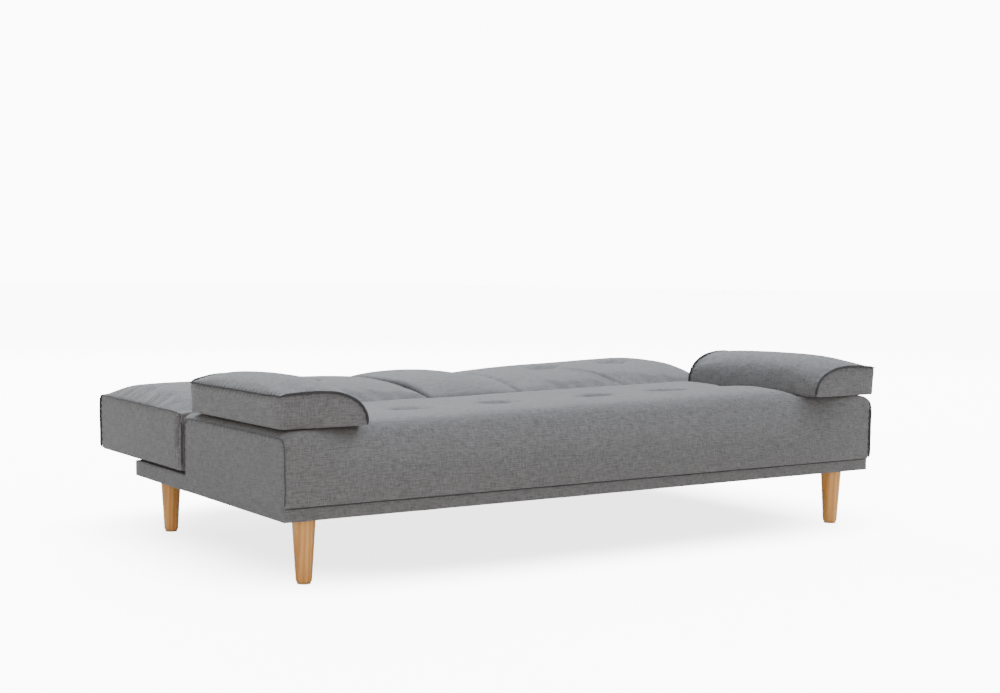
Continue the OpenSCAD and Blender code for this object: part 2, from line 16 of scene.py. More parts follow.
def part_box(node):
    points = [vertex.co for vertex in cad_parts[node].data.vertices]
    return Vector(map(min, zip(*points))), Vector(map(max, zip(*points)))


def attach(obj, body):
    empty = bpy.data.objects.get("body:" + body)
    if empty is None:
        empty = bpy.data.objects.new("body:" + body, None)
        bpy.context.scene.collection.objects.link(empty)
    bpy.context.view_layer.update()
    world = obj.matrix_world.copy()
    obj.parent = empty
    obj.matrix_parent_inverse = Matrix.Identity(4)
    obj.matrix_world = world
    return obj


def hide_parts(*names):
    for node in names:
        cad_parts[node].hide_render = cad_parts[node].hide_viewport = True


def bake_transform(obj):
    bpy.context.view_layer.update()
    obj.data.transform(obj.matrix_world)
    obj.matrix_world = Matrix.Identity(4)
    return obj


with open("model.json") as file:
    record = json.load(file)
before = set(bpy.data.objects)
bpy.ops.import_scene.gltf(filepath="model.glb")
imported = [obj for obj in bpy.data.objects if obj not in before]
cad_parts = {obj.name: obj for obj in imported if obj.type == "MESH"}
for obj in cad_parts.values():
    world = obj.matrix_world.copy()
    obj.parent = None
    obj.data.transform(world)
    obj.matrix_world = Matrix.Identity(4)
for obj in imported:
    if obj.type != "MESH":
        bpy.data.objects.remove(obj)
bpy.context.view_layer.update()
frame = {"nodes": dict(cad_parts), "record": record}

SEAT_LOW, SEAT_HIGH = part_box("seat_cover")
BASE_LOW, BASE_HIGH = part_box("base_cover")
LEFT_LOW, LEFT_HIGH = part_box("left_backrest_cover")
RIGHT_LOW, RIGHT_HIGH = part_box("right_backrest_cover")
UNDER_LOW, UNDER_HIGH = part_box("backrest_under_cover")
CONSOLE_LOW, CONSOLE_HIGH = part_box("console_cover")

CELL = 0.010


# ------------------------------------------------------------------ small maths

def smooth(a, b, x):
    """0 below a, 1 above b, with a smooth step between."""
    t = np.clip((np.asarray(x, float) - a) / (b - a), 0, 1)
    return t * t * (3 - 2 * t)


def swell(t, power=2.4):
    """A crown over t from 0 to 1: 0 at both ends and 1 in the middle."""
    return 1 - np.abs(2 * np.clip(t, 0, 1) - 1) ** power


def ripple(points, size, seed):
    """Smooth noise from about -1 to 1 at each point, with features of the given size."""
    shift = Vector((seed * 7.31, seed * 3.17, seed * 5.77))
    return np.array([noise.noise(Vector(p) / size + shift) for p in points])


def stations(low, high, step, near_edges=(0.003, 0.009)):
    """Places from low to high, about a step apart, with closer ones just inside each end."""
    inner = max(near_edges) + step * 0.8
    count = max(2, int(round((high - low - 2 * inner) / step)))
    middle = np.linspace(low + inner, high - inner, count + 1)
    left = [low] + [low + e for e in near_edges]
    right = [high - e for e in reversed(near_edges)] + [high]
    return np.concatenate([left, middle, right])


def lopsided(t, peak, power):
    """A crown like swell, but highest at the given place between 0 and 1."""
    return swell(np.clip(t, 0, 1) ** (math.log(0.5) / math.log(peak)), power)


# ------------------------------------------------------------------ meshes

def box_grid(xs, ys, zs):
    """Points, quads and grid places of a closed box whose faces are divided at the given stations."""
    nx, ny, nz = len(xs) - 1, len(ys) - 1, len(zs) - 1
    index, places, quads = {}, [], []

    def at(i, j, k):
        key = (i, j, k)
        if key not in index:
            index[key] = len(places)
            places.append(key)
        return index[key]

    for i in range(nx):
        for j in range(ny):
            quads.append([at(i, j, nz), at(i + 1, j, nz), at(i + 1, j + 1, nz), at(i, j + 1, nz)])
            quads.append([at(i, j, 0), at(i, j + 1, 0), at(i + 1, j + 1, 0), at(i + 1, j, 0)])
    for i in range(nx):
        for k in range(nz):
            quads.append([at(i, 0, k), at(i + 1, 0, k), at(i + 1, 0, k + 1), at(i, 0, k + 1)])
            quads.append([at(i, ny, k), at(i, ny, k + 1), at(i + 1, ny, k + 1), at(i + 1, ny, k)])
    for j in range(ny):
        for k in range(nz):
            quads.append([at(0, j, k), at(0, j, k + 1), at(0, j + 1, k + 1), at(0, j + 1, k)])
            quads.append([at(nx, j, k), at(nx, j + 1, k), at(nx, j + 1, k + 1), at(nx, j, k + 1)])
    places = np.array(places)
    points = np.column_stack([np.asarray(xs)[places[:, 0]], np.asarray(ys)[places[:, 1]],
                              np.asarray(zs)[places[:, 2]]])
    return points, quads, places


def make_mesh(name, points, quads, material):
    mesh = bpy.data.meshes.new(name)
    mesh.from_pydata([tuple(p) for p in points], [], [list(q) for q in quads])
    mesh.update()
    mesh.polygons.foreach_set("use_smooth", [True] * len(mesh.polygons))
    mesh.materials.append(material)
    piece = bpy.data.objects.new(name, mesh)
    bpy.context.scene.collection.objects.link(piece)
    return piece


def coordinates(piece):
    points = np.zeros(len(piece.data.vertices) * 3)
    piece.data.vertices.foreach_get("co", points)
    return points.reshape(-1, 3)


def set_coordinates(piece, points):
    piece.data.vertices.foreach_set("co", np.asarray(points, float).ravel())
    piece.data.update()


def normals(piece):
    out = np.zeros(len(piece.data.vertices) * 3)
    piece.data.vertices.foreach_get("normal", out)
    return out.reshape(-1, 3)


def round_corner(a, b, centre_a, centre_b, radius, toward_a, toward_b):
    """Moves the points of one square corner on to an arc. toward_a and toward_b are -1 or 1."""
    da, db = (a - centre_a) * toward_a, (b - centre_b) * toward_b
    inside = (da > 0) & (db > 0)
    length = np.hypot(da, db)
    scale = np.where(inside, radius / np.maximum(length, 1e-9), 1.0)
    return (np.where(inside, centre_a + da * scale * toward_a, a),
            np.where(inside, centre_b + db * scale * toward_b, b))


def subdivide(piece):
    """Divides every face once, for good."""
    modifier = piece.modifiers.new("subdivide", "SUBSURF")
    modifier.levels = 1
    modifier.render_levels = 1
    graph = bpy.context.evaluated_depsgraph_get()
    mesh = bpy.data.meshes.new_from_object(piece.evaluated_get(graph))
    old = piece.data
    piece.modifiers.clear()
    piece.data = mesh
    mesh.name = old.name
    bpy.data.meshes.remove(old)
    mesh.polygons.foreach_set("use_smooth", [True] * len(mesh.polygons))


CLOTH = {
    "quality": 5, "mass": 0.3, "tension_stiffness": 18, "compression_stiffness": 12, "shear_stiffness": 6,
    "bending_stiffness": 0.6, "use_pressure": True, "pin_stiffness": 1.0, "vertex_group_mass": "held",
}
PUFF_FRAMES = 14


def puff(piece, free, pressure, cap, grow):
    """Inflates a closed cushion by a short cloth simulation. Only its free points move, by at most cap."""
    start = coordinates(piece)
    group = piece.vertex_groups.new(name="held")
    group.add(np.nonzero(~free)[0].tolist(), 1.0, "REPLACE")
    cloth = piece.modifiers.new("cloth", "CLOTH")
    for key, value in CLOTH.items():
        setattr(cloth.settings, key, value)
    cloth.settings.uniform_pressure_force = pressure
    cloth.settings.shrink_min = -grow
    cloth.settings.effector_weights.gravity = 0
    cloth.collision_settings.use_collision = False
    cloth.point_cache.frame_start = 1
    cloth.point_cache.frame_end = PUFF_FRAMES
    scene = bpy.context.scene
    for step in range(1, PUFF_FRAMES + 1):
        scene.frame_set(step)
    graph = bpy.context.evaluated_depsgraph_get()
    shaped = piece.evaluated_get(graph).to_mesh()
    moved = np.zeros(len(shaped.vertices) * 3)
    shaped.vertices.foreach_get("co", moved)
    piece.modifiers.clear()
    scene.frame_set(1)
    shift = moved.reshape(-1, 3) - start
    length = np.linalg.norm(shift, axis=1, keepdims=True)
    shift *= np.minimum(1, cap / np.maximum(length, 1e-9))
    set_coordinates(piece, start + shift)
    piece.vertex_groups.clear()


def relax(piece, free, amount, rounds):
    """Evens out the cloth a little at its free points."""
    edges = np.zeros(len(piece.data.edges) * 2, int)
    piece.data.edges.foreach_get("vertices", edges)
    a, b = edges.reshape(-1, 2).T
    points = coordinates(piece)
    count = np.bincount(a, minlength=len(points)) + np.bincount(b, minlength=len(points))
    for _ in range(rounds):
        total = np.zeros_like(points)
        np.add.at(total, a, points[b])
        np.add.at(total, b, points[a])
        moved = points + amount * (total / count[:, None] - points)
        points = np.where(free[:, None], moved, points)
    set_coordinates(piece, points)


RIDGE_SIDES = 10


def sweep(name, path, outward, material, width, height, sink=0.35):
    """A sewn ridge along a path: a rounded section standing on the cloth, height along outward."""
    path, outward = np.asarray(path, float), np.asarray(outward, float)
    last = len(path) - 1
    rings = []
    for n, here in enumerate(path):
        tangent = path[min(n + 1, last)] - path[max(n - 1, 0)]
        tangent = tangent / max(np.linalg.norm(tangent), 1e-9)
        up = outward[n] - tangent * float(outward[n] @ tangent)
        up = up / max(np.linalg.norm(up), 1e-9)
        side = np.cross(tangent, up)
        fade = min(1.0, 0.25 + 0.75 * min(n, last - n) / 2)
        for q in range(RIDGE_SIDES):
            angle = 2 * math.pi * q / RIDGE_SIDES
            rings.append(here + side * (0.5 * width * fade * math.cos(angle))
                         + up * (0.5 * height * fade * math.sin(angle) + height * (0.5 - sink)))
    quads = tube(last + 1, RIDGE_SIDES)
    quads.append(list(range(RIDGE_SIDES)))
    quads.append([last * RIDGE_SIDES + q for q in reversed(range(RIDGE_SIDES))])
    return make_mesh(name, rings, quads, material)


def tube(levels, around):
    """Quads between rings of points that lie one after the other."""
    quads = []
    for low in range(0, (levels - 1) * around, around):
        for n in range(around):
            m = (n + 1) % around
            quads.append([low + n, low + m, low + around + m, low + around + n])
    return quads


def thin_sheet(name, xs, ys, height, thickness, material):
    """A sheet of two layers with a closed rim over a grid. height gives its top at x and y."""
    points, quads = [], []
    for layer in (0, 1):
        points += [(x, y, height(x, y) - thickness * layer) for y in ys for x in xs]
    nx, ny = len(xs), len(ys)
    size = nx * ny
    for j in range(ny - 1):
        for i in range(nx - 1):
            a = j * nx + i
            b = a + size
            quads += [[a, a + 1, a + nx + 1, a + nx], [b, b + nx, b + nx + 1, b + 1]]
    rim = [i for i in range(nx - 1)] + [j * nx + nx - 1 for j in range(ny - 1)]
    rim += [(ny - 1) * nx + i for i in range(nx - 1, 0, -1)] + [j * nx for j in range(ny - 1, 0, -1)]
    for a, b in zip(rim, rim[1:] + rim[:1]):
        quads.append([b, a, a + size, b + size])
    return make_mesh(name, points, quads, material)


def even_out(values, rounds):
    """A running average along a line of vectors that keeps both ends."""
    values = np.asarray(values, float).copy()
    for _ in range(rounds):
        values[1:-1] = 0.25 * values[:-2] + 0.5 * values[1:-1] + 0.25 * values[2:]
    return values


def search_tree(points):
    tree = kdtree.KDTree(len(points))
    for n, p in enumerate(points):
        tree.insert(Vector(p), n)
    tree.balance()
    return tree


def running_length(path):
    return np.concatenate([[0], np.cumsum(np.linalg.norm(np.diff(path, axis=0), axis=1))])


def nearest_path(piece, targets, gap=0.005):
    """A smooth line over the cloth near the targets, with the cloth's normals along it."""
    points, out = coordinates(piece), normals(piece)
    tree = search_tree(points)
    picked = []
    for t in targets:
        n = tree.find(Vector(t))[1]
        if n not in picked[-6:]:
            picked.append(n)
    path = even_out(points[picked], 6)
    facing = even_out(out[picked], 10)
    run = running_length(path)
    places = np.linspace(0, run[-1], max(3, int(run[-1] / gap)))
    path = np.column_stack([np.interp(places, run, path[:, n]) for n in range(3)])
    facing = np.column_stack([np.interp(places, run, facing[:, n]) for n in range(3)])
    return even_out(path, 3), facing / np.linalg.norm(facing, axis=1, keepdims=True)


# ------------------------------------------------------------------ materials

class Tree:
    """A node tree, with short calls to add and link nodes."""

    def __init__(self, owner):
        owner.use_nodes = True
        self.tree = owner.node_tree
        self.place = self.tree.nodes.new("ShaderNodeTexCoord").outputs

    def add(self, kind, *values, **settings):
        node = self.tree.nodes.new("ShaderNode" + kind)
        for key, value in settings.items():
            if key in node.inputs:
                self.feed(node.inputs[key], value)
            else:
                setattr(node, key, value)
        for n, value in enumerate(values):
            if value is not None:
                self.feed(node.inputs[n], value)
        return node

    def feed(self, socket, value):
        if isinstance(value, bpy.types.NodeSocket):
            self.tree.links.new(value, socket)
        else:
            socket.default_value = value

    def math(self, operation, a, b=0.0, c=0.0):
        return self.add("Math", a, b, c, operation=operation).outputs[0]

    def mix(self, factor, a, b):
        """A number between a and b."""
        return self.add("Mix", factor, None, a, b, data_type="FLOAT").outputs[0]

    def mix_colour(self, factor, a, b):
        node = self.add("Mix", factor, data_type="RGBA")
        self.feed(node.inputs[6], a)
        self.feed(node.inputs[7], b)
        return node.outputs[2]

    def noise(self, vector, scale, detail=3.0, roughness=0.5):
        node = self.add("TexNoise", Vector=vector, Scale=scale, Detail=detail, Roughness=roughness)
        return node.outputs["Fac"]

    def stretch(self, vector, x, y, z):
        return self.add("Mapping", vector, Scale=(x, y, z)).outputs[0]

    def ramp(self, factor, *stops):
        node = self.add("ValToRGB", factor)
        elements = node.color_ramp.elements
        while len(elements) < len(stops):
            elements.new(0.5)
        for element, (position, colour) in zip(elements, stops):
            element.position = position
            element.color = (*colour, 1.0)
        return node.outputs[0]

    def spread(self, value, low, high, to_low, to_high):
        node = self.add("MapRange", value, low, high, to_low, to_high)
        return node.outputs[0]


class Nodes(Tree):
    """A material's node tree."""

    def __init__(self, name, roughness, metallic=0.0):
        self.material = bpy.data.materials.new(name)
        super().__init__(self.material)
        self.shader = self.tree.nodes["Principled BSDF"]
        self.set(Roughness=roughness, Metallic=metallic)

    def set(self, **values):
        """Sets the shader's own sockets. An underscore in a key stands for a space."""
        for key, value in values.items():
            self.shader.inputs[key.replace("_", " ")].default_value = value

    def bump(self, height, distance, strength, over=None):
        node = self.add("Bump", Strength=strength, Distance=distance, Height=height)
        if over is not None:
            self.feed(node.inputs["Normal"], over)
        return node.outputs[0]

    def finish(self, colour, normal=None, roughness=None):
        self.feed(self.shader.inputs["Base Color"], colour)
        if normal is not None:
            self.feed(self.shader.inputs["Normal"], normal)
        if roughness is not None:
            self.feed(self.shader.inputs["Roughness"], roughness)
        return self.material


def cloth_plane(nodes):
    """Flat coordinates on the piece's own surface: each face uses the two axes that it lies along."""
    place = nodes.add("SeparateXYZ", nodes.place["Object"])
    facing = nodes.add("SeparateXYZ", nodes.place["Normal"])
    x, y, z = place.outputs
    ax, ay, az = (nodes.math("ABSOLUTE", s) for s in facing.outputs)
    flat = nodes.math("GREATER_THAN", az, nodes.math("MAXIMUM", ax, ay))
    front = nodes.math("GREATER_THAN", ay, ax)
    u = nodes.mix(nodes.math("MAXIMUM", flat, front), y, x)
    v = nodes.mix(flat, z, y)
    return u, v


STREAK = 0.13              # how much a yarn's own shade is drawn out along it
FLECK = 0.6                # how much single threads stand out from the blend of both ways
RELIEF = 0.0007
CLOTH_ROUGH = 0.92


def woven(name, dark, light, thread=0.0022, sheen=0.20):
    """A plain weave with uneven yarns: each thread has its own shade, and the cloth a soft mottle."""
    nodes = Nodes(name, CLOTH_ROUGH)
    u, v = cloth_plane(nodes)
    su = nodes.math("DIVIDE", u, thread)
    sv = nodes.math("DIVIDE", v, thread)
    wave_u = nodes.math("SINE", nodes.math("MULTIPLY", su, math.pi))
    wave_v = nodes.math("SINE", nodes.math("MULTIPLY", sv, math.pi))
    over = nodes.math("GREATER_THAN", nodes.math("MULTIPLY", wave_u, wave_v), 0.0)
    height = nodes.mix(over, nodes.math("ABSOLUTE", wave_v), nodes.math("ABSOLUTE", wave_u))
    warp_place = nodes.add("CombineXYZ", su, nodes.math("MULTIPLY", sv, STREAK), 0.0).outputs[0]
    weft_place = nodes.add("CombineXYZ", nodes.math("MULTIPLY", su, STREAK), sv, 7.0).outputs[0]
    warp = nodes.noise(warp_place, 0.9, 2.0, 0.6)
    weft = nodes.noise(weft_place, 0.9, 2.0, 0.6)
    yarn = nodes.mix(0.5, warp, weft)
    own = nodes.mix(over, weft, warp)
    mottle = nodes.noise(nodes.place["Object"], 26.0, 5.0, 0.65)
    cloud = nodes.noise(nodes.place["Object"], 3.0, 2.0, 0.5)
    shade = nodes.mix(FLECK, yarn, own)
    shade = nodes.mix(0.05, shade, mottle)
    shade = nodes.mix(0.03, shade, cloud)
    # The threads' edges are painted a little darker than their crowns, as painted shade between the threads.
    shade = nodes.mix(0.12, shade, height)
    colour = nodes.ramp(shade, (0.36, dark), (0.64, light))
    fuzz = nodes.noise(nodes.place["Object"], 900.0, 2.0, 0.7)
    relief_map = nodes.mix(0.25, height, fuzz)
    fine = nodes.bump(relief_map, RELIEF, 0.45)
    soft = nodes.bump(mottle, 0.0003, 0.20, fine)
    rough = nodes.spread(shade, 0.3, 0.7, CLOTH_ROUGH, CLOTH_ROUGH - 0.10)
    nodes.set(Sheen_Weight=sheen, Sheen_Roughness=0.45, Specular_IOR_Level=0.25)
    return nodes.finish(colour, soft, rough)


def timber(name, dark, middle, light, roughness, coat=0.0, along="z", ring=26.0):
    """Wood with stretched grain and fine pores. along is the axis that the grain runs along."""
    nodes = Nodes(name, roughness)
    long, cross = 2.2, 30.0
    scale = {"x": (long, cross, cross), "z": (cross, cross, long)}[along]
    place = nodes.stretch(nodes.place["Object"], *scale)
    warp = nodes.noise(place, 0.8, 3.0, 0.5)
    bands = nodes.add("TexWave", Vector=place, Scale=ring / 30.0, Distortion=6.0, Detail=3.0,
                      wave_type="BANDS").outputs["Fac"]
    pores = nodes.noise(nodes.stretch(place, 9.0, 9.0, 9.0), 1.6, 4.0, 0.7)
    tone = nodes.mix(0.45, warp, bands)
    tone = nodes.mix(0.22, tone, pores)
    colour = nodes.ramp(tone, (0.25, dark), (0.50, middle), (0.78, light))
    normal = nodes.bump(nodes.mix(0.6, bands, pores), 0.0003, 0.35)
    rough = nodes.spread(tone, 0.2, 0.8, roughness + 0.08, roughness - 0.05)
    nodes.set(Coat_Weight=coat, Coat_Roughness=0.25)
    return nodes.finish(colour, normal, rough)


def steel(name):
    """Zinc-plated sheet: brushed along one way, with faint spangle and dull patches."""
    nodes = Nodes(name, 0.35, 1.0)
    place = nodes.place["Object"]
    brushed = nodes.noise(nodes.stretch(place, 40.0, 40.0, 1400.0), 1.0, 2.0, 0.6)
    patches = nodes.noise(place, 70.0, 3.0, 0.6)
    tone = nodes.mix(0.5, brushed, patches)
    colour = nodes.ramp(tone, (0.3, (0.42, 0.43, 0.45)), (0.7, (0.66, 0.67, 0.69)))
    return nodes.finish(colour, nodes.bump(brushed, 0.0001, 0.3), nodes.spread(patches, 0.3, 0.7, 0.28, 0.48))


def plastic(name, dark, light, roughness):
    """Moulded plastic or rubber with a fine spark-eroded texture."""
    nodes = Nodes(name, roughness)
    place = nodes.place["Object"]
    grain = nodes.noise(place, 1400.0, 2.0, 0.6)
    patches = nodes.noise(place, 40.0, 3.0, 0.5)
    colour = nodes.ramp(nodes.mix(0.4, grain, patches), (0.3, dark), (0.7, light))
    rough = nodes.spread(patches, 0.3, 0.7, roughness - 0.06, roughness + 0.06)
    return nodes.finish(colour, nodes.bump(grain, 0.0002, 0.4), rough)


def foam(name, dark, light):
    """Open-cell foam, or fibre."""
    nodes = Nodes(name, 0.95)
    place = nodes.place["Object"]
    cells = nodes.add("TexVoronoi", Vector=place, Scale=520.0).outputs["Distance"]
    patches = nodes.noise(place, 16.0, 4.0, 0.6)
    colour = nodes.ramp(nodes.mix(0.5, cells, patches), (0.15, dark), (0.65, light))
    return nodes.finish(colour, nodes.bump(cells, 0.0008, 0.6))


GREY = woven("upholstery", (0.092, 0.092, 0.094), (0.212, 0.212, 0.216))
# SEAM and SOFT_SEAM are painted darker than the upholstery, as painted shade of the groove beside each sewn
# edge. SEAM is the darker of the two.
SEAM = woven("seam_painted_shade", (0.022, 0.022, 0.024), (0.075, 0.076, 0.080), thread=0.0016, sheen=0.08)
SOFT_SEAM = woven("flat_seam_painted_shade", (0.045, 0.045, 0.047), (0.125, 0.126, 0.130), thread=0.0016, sheen=0.10)
LINING = woven("lining", (0.012, 0.012, 0.013), (0.035, 0.035, 0.037), thread=0.0012, sheen=0.05)
WEBBING = woven("webbing", (0.020, 0.020, 0.022), (0.075, 0.075, 0.080), thread=0.0030)
BEECH = timber("leg_wood", (0.66, 0.286, 0.066), (0.81, 0.385, 0.100), (0.92, 0.484, 0.140), 0.42, coat=0.20)
PINE = timber("frame_timber", (0.42, 0.27, 0.13), (0.58, 0.40, 0.21), (0.68, 0.50, 0.29), 0.65, along="x")
BOARD = timber("board", (0.20, 0.125, 0.065), (0.25, 0.16, 0.088), (0.30, 0.195, 0.11), 0.6, along="x",
               ring=9.0)
ZINC = steel("steel")
BLACK = plastic("black_plastic", (0.018, 0.018, 0.020), (0.040, 0.040, 0.043), 0.45)
RUBBER = plastic("pad_rubber", (0.015, 0.015, 0.015), (0.035, 0.035, 0.035), 0.80)
FOAM = foam("foam", (0.62, 0.54, 0.30), (0.84, 0.78, 0.55))
FIBRE = foam("fibre_fill", (0.70, 0.70, 0.68), (0.88, 0.88, 0.86))
NYLON = plastic("glide_nylon", (0.50, 0.34, 0.18), (0.62, 0.44, 0.25), 0.5)
ZIP = plastic("zip", (0.10, 0.10, 0.11), (0.22, 0.22, 0.24), 0.50)

FINISHES = {
    "upholstery": GREY, "lining": LINING, "webbing": WEBBING, "foam": FOAM, "fibre_fill": FIBRE,
    "frame_timber": PINE, "board": BOARD, "leg_wood": BEECH, "steel": ZINC, "black_plastic": BLACK,
    "pad_rubber": RUBBER, "zip": ZIP, "glide_nylon": NYLON,
}
for part in frame["record"]["subparts"]:
    node = frame["nodes"][part["node"]]
    node.data.materials.clear()
    node.data.materials.append(FINISHES[part["material_slot"]])


def place_piece(piece, body, slot, *replaced, fill=None):
    """Puts a finished piece on its body and hides the CAD nodes that it stands for. Its slot is not used."""
    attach(piece, body)
    if replaced:
        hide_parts(*replaced)
    return piece


# ------------------------------------------------------------------ what the cushions share

def crease_noise(piece, amount, size, seed, start=None):
    """Small uneven swelling of the cloth along its normals. It fades in between the two heights of start."""
    points, out = coordinates(piece), normals(piece)
    push = amount * ripple(points, size, seed)
    if start is not None:
        push = push * smooth(*start, points[:, 2])
    set_coordinates(piece, points + out * push[:, None])


SEAT_EDGE = 0.333          # height of the sewn edge along each end
SEAT_CREST = 0.360         # height of the seat's middle
FRONT_R = 0.108
FRONT_CROWN = 0.006        # how much fuller the seat is just in front of its tufts
CORNER_R = 0.016           # the front edge's radius at the ends, where the sewn corner holds it tight
FOLD_R = 0.042
FOLD_CORNER_R = 0.004      # the fold edge's radius at the ends
END_TILT = 0.012           # how much higher the seat stands at its right end
LIP_Z = BASE_LOW.z + 0.030
HEM_R = 0.006
SEAT_TUFT_DEPTH, BACK_TUFT_DEPTH = 0.025, 0.014
TUFT_WIDE = 0.045
TUFT_STRETCH = 1.2
TUFT_HELD = 0.012          # radius that a tuft's tie holds still while the cushion is puffed
REST_EASE = 0.004          # how softly the seat's press under a bolster begins
TOP_FLOOR = 0.33           # lowest height that counts as a cushion's top
PRESSURE = 1.6
SEAT_TUFTS = [(x, SEAT_LOW.y + 0.285) for x in (-0.682, -0.412, -0.150, 0.172, 0.422, 0.682)]
BACK_TUFT_Y = UNDER_LOW.y + 0.290


def press_tufts(piece, centres, ties, depth):
    """Pulls the finished cloth down round each tuft, on to its tie's top, with folds that run out from it."""
    points = coordinates(piece)
    tie_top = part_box(ties)[1].z + 0.0016
    pull = np.zeros(len(points))
    for number, (cx, cy) in enumerate(centres):
        dx, dy = points[:, 0] - cx, points[:, 1] - cy
        d = np.hypot(dx / TUFT_STRETCH, dy)
        bowl = 0.75 * np.exp(-(d / TUFT_WIDE) ** 4) + 0.25 * np.exp(-(d / (2.2 * TUFT_WIDE)) ** 2)
        pit = 0.25 * np.exp(-(d / 0.010) ** 2)
        angle = np.arctan2(dy, dx / TUFT_STRETCH)
        folds = np.cos(5 * angle + 1.7 * number) * np.exp(-((d - 0.040) / 0.020) ** 2)
        here = points[(d < 0.012) & (points[:, 2] > TOP_FLOOR)]
        deep = min(depth, float(here[:, 2].min()) - tie_top)
        pull = np.maximum(pull, deep * (bowl + pit + 0.10 * folds))
    points[:, 2] -= pull * smooth(TOP_FLOOR - 0.03, TOP_FLOOR, points[:, 2])
    set_coordinates(piece, points)


def press_crease(piece, start, end, depth, width):
    """Draws a soft groove into the top along a straight line in plan."""
    points = coordinates(piece)
    start, end = np.array(start), np.array(end)
    run = end - start
    along = np.clip(((points[:, :2] - start) @ run) / (run @ run), 0, 1)
    away = np.linalg.norm(points[:, :2] - start - along[:, None] * run, axis=1)
    fade = smooth(0, 0.15, along) * (1 - 0.5 * along)
    side = np.sign((points[:, 0] - start[0]) * run[1] - (points[:, 1] - start[1]) * run[0])
    beside = 0.35 * np.exp(-((away - 2.2 * width) / (1.3 * width)) ** 2) * (side > 0)
    groove = np.exp(-(away / width) ** 2) - beside
    points[:, 2] -= depth * fade * groove * smooth(TOP_FLOOR - 0.03, TOP_FLOOR, points[:, 2])
    set_coordinates(piece, points)


def near_tufts(x, y, centres):
    return np.any([np.hypot(x - cx, y - cy) < TUFT_HELD for cx, cy in centres], axis=0)


def inset_of(x):
    """Distance in from the nearer sewn end."""
    return SEAT_HIGH.x - np.abs(x)


def seat_top(x, y):
    """Height of the seat's top surface."""
    inset = inset_of(x)
    t = (y - SEAT_LOW.y) / (SEAT_HIGH.y - SEAT_LOW.y)
    level = lopsided(t, 0.56, 4.0)
    rise = 0.015 * (1 - np.exp(-inset / 0.014)) * (0.94 + 0.06 * level)
    middle = (SEAT_CREST - SEAT_EDGE - 0.015) * smooth(0.03, 0.26, inset)
    roll = FRONT_CROWN * np.exp(-((t - 0.30) / 0.17) ** 2) * smooth(0.03, 0.30, inset)
    return SEAT_EDGE + rise + roll + (middle + 0.011 * x * smooth(0, 0.3, inset)) * (0.05 + 0.95 * level)


def fold_radius(inset):
    """Radius of the edges that meet at the fold: tight at the sewn ends and soft between them."""
    return FOLD_CORNER_R + (FOLD_R - FOLD_CORNER_R) * smooth(0.040, 0.20, inset)


def along_height(points, size, seed):
    """Smooth noise that changes with height alone."""
    level = points[:, 2]
    return ripple(np.column_stack([level * 0, level * 0, level]), size, seed)


def bunch_fold_end(points, side, fold_y, away, seed):
    """Uneven gathers of the wall at the fold near a sewn end, so that the two cushions meet raggedly."""
    wall = np.exp(-np.abs(points[:, 1] - fold_y) / 0.006)
    end = np.exp(-np.abs(points[:, 0] - side * SEAT_HIGH.x) / 0.020)
    ragged = 0.6 * along_height(points, 0.022, seed) + 0.6 * along_height(points, 0.009, seed + 1)
    dent = np.exp(-((points[:, 2] - 0.292) / 0.022) ** 2)
    points[:, 1] += away * 0.0045 * (ragged * dent + 0.8 * dent) * wall * end
    near_top = smooth(0.318, 0.334, points[:, 2]) * smooth(0.10, 0.04, inset_of(points[:, 0]))
    points[:, 1] -= away * 0.0026 * wall * near_top


def rest_under_bolsters(piece):
    """Presses the seat down to the underside of each bolster."""
    points = coordinates(piece)
    for node in ("left_bolster_cover", "right_bolster_cover"):
        low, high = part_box(node)
        outside_x = np.maximum(np.maximum(low.x - points[:, 0], points[:, 0] - high.x), 0)
        outside_y = np.maximum(np.maximum(low.y - points[:, 1], points[:, 1] - high.y), 0)
        limit = low.z + 0.0002 + 0.40 * np.maximum(np.hypot(outside_x, outside_y) - 0.002, 0)
        over = points[:, 2] - limit
        eased = np.maximum(over + REST_EASE, 0) ** 2 / (4 * REST_EASE)
        points[:, 2] -= np.where(over < REST_EASE, eased, over)
    set_coordinates(piece, points)


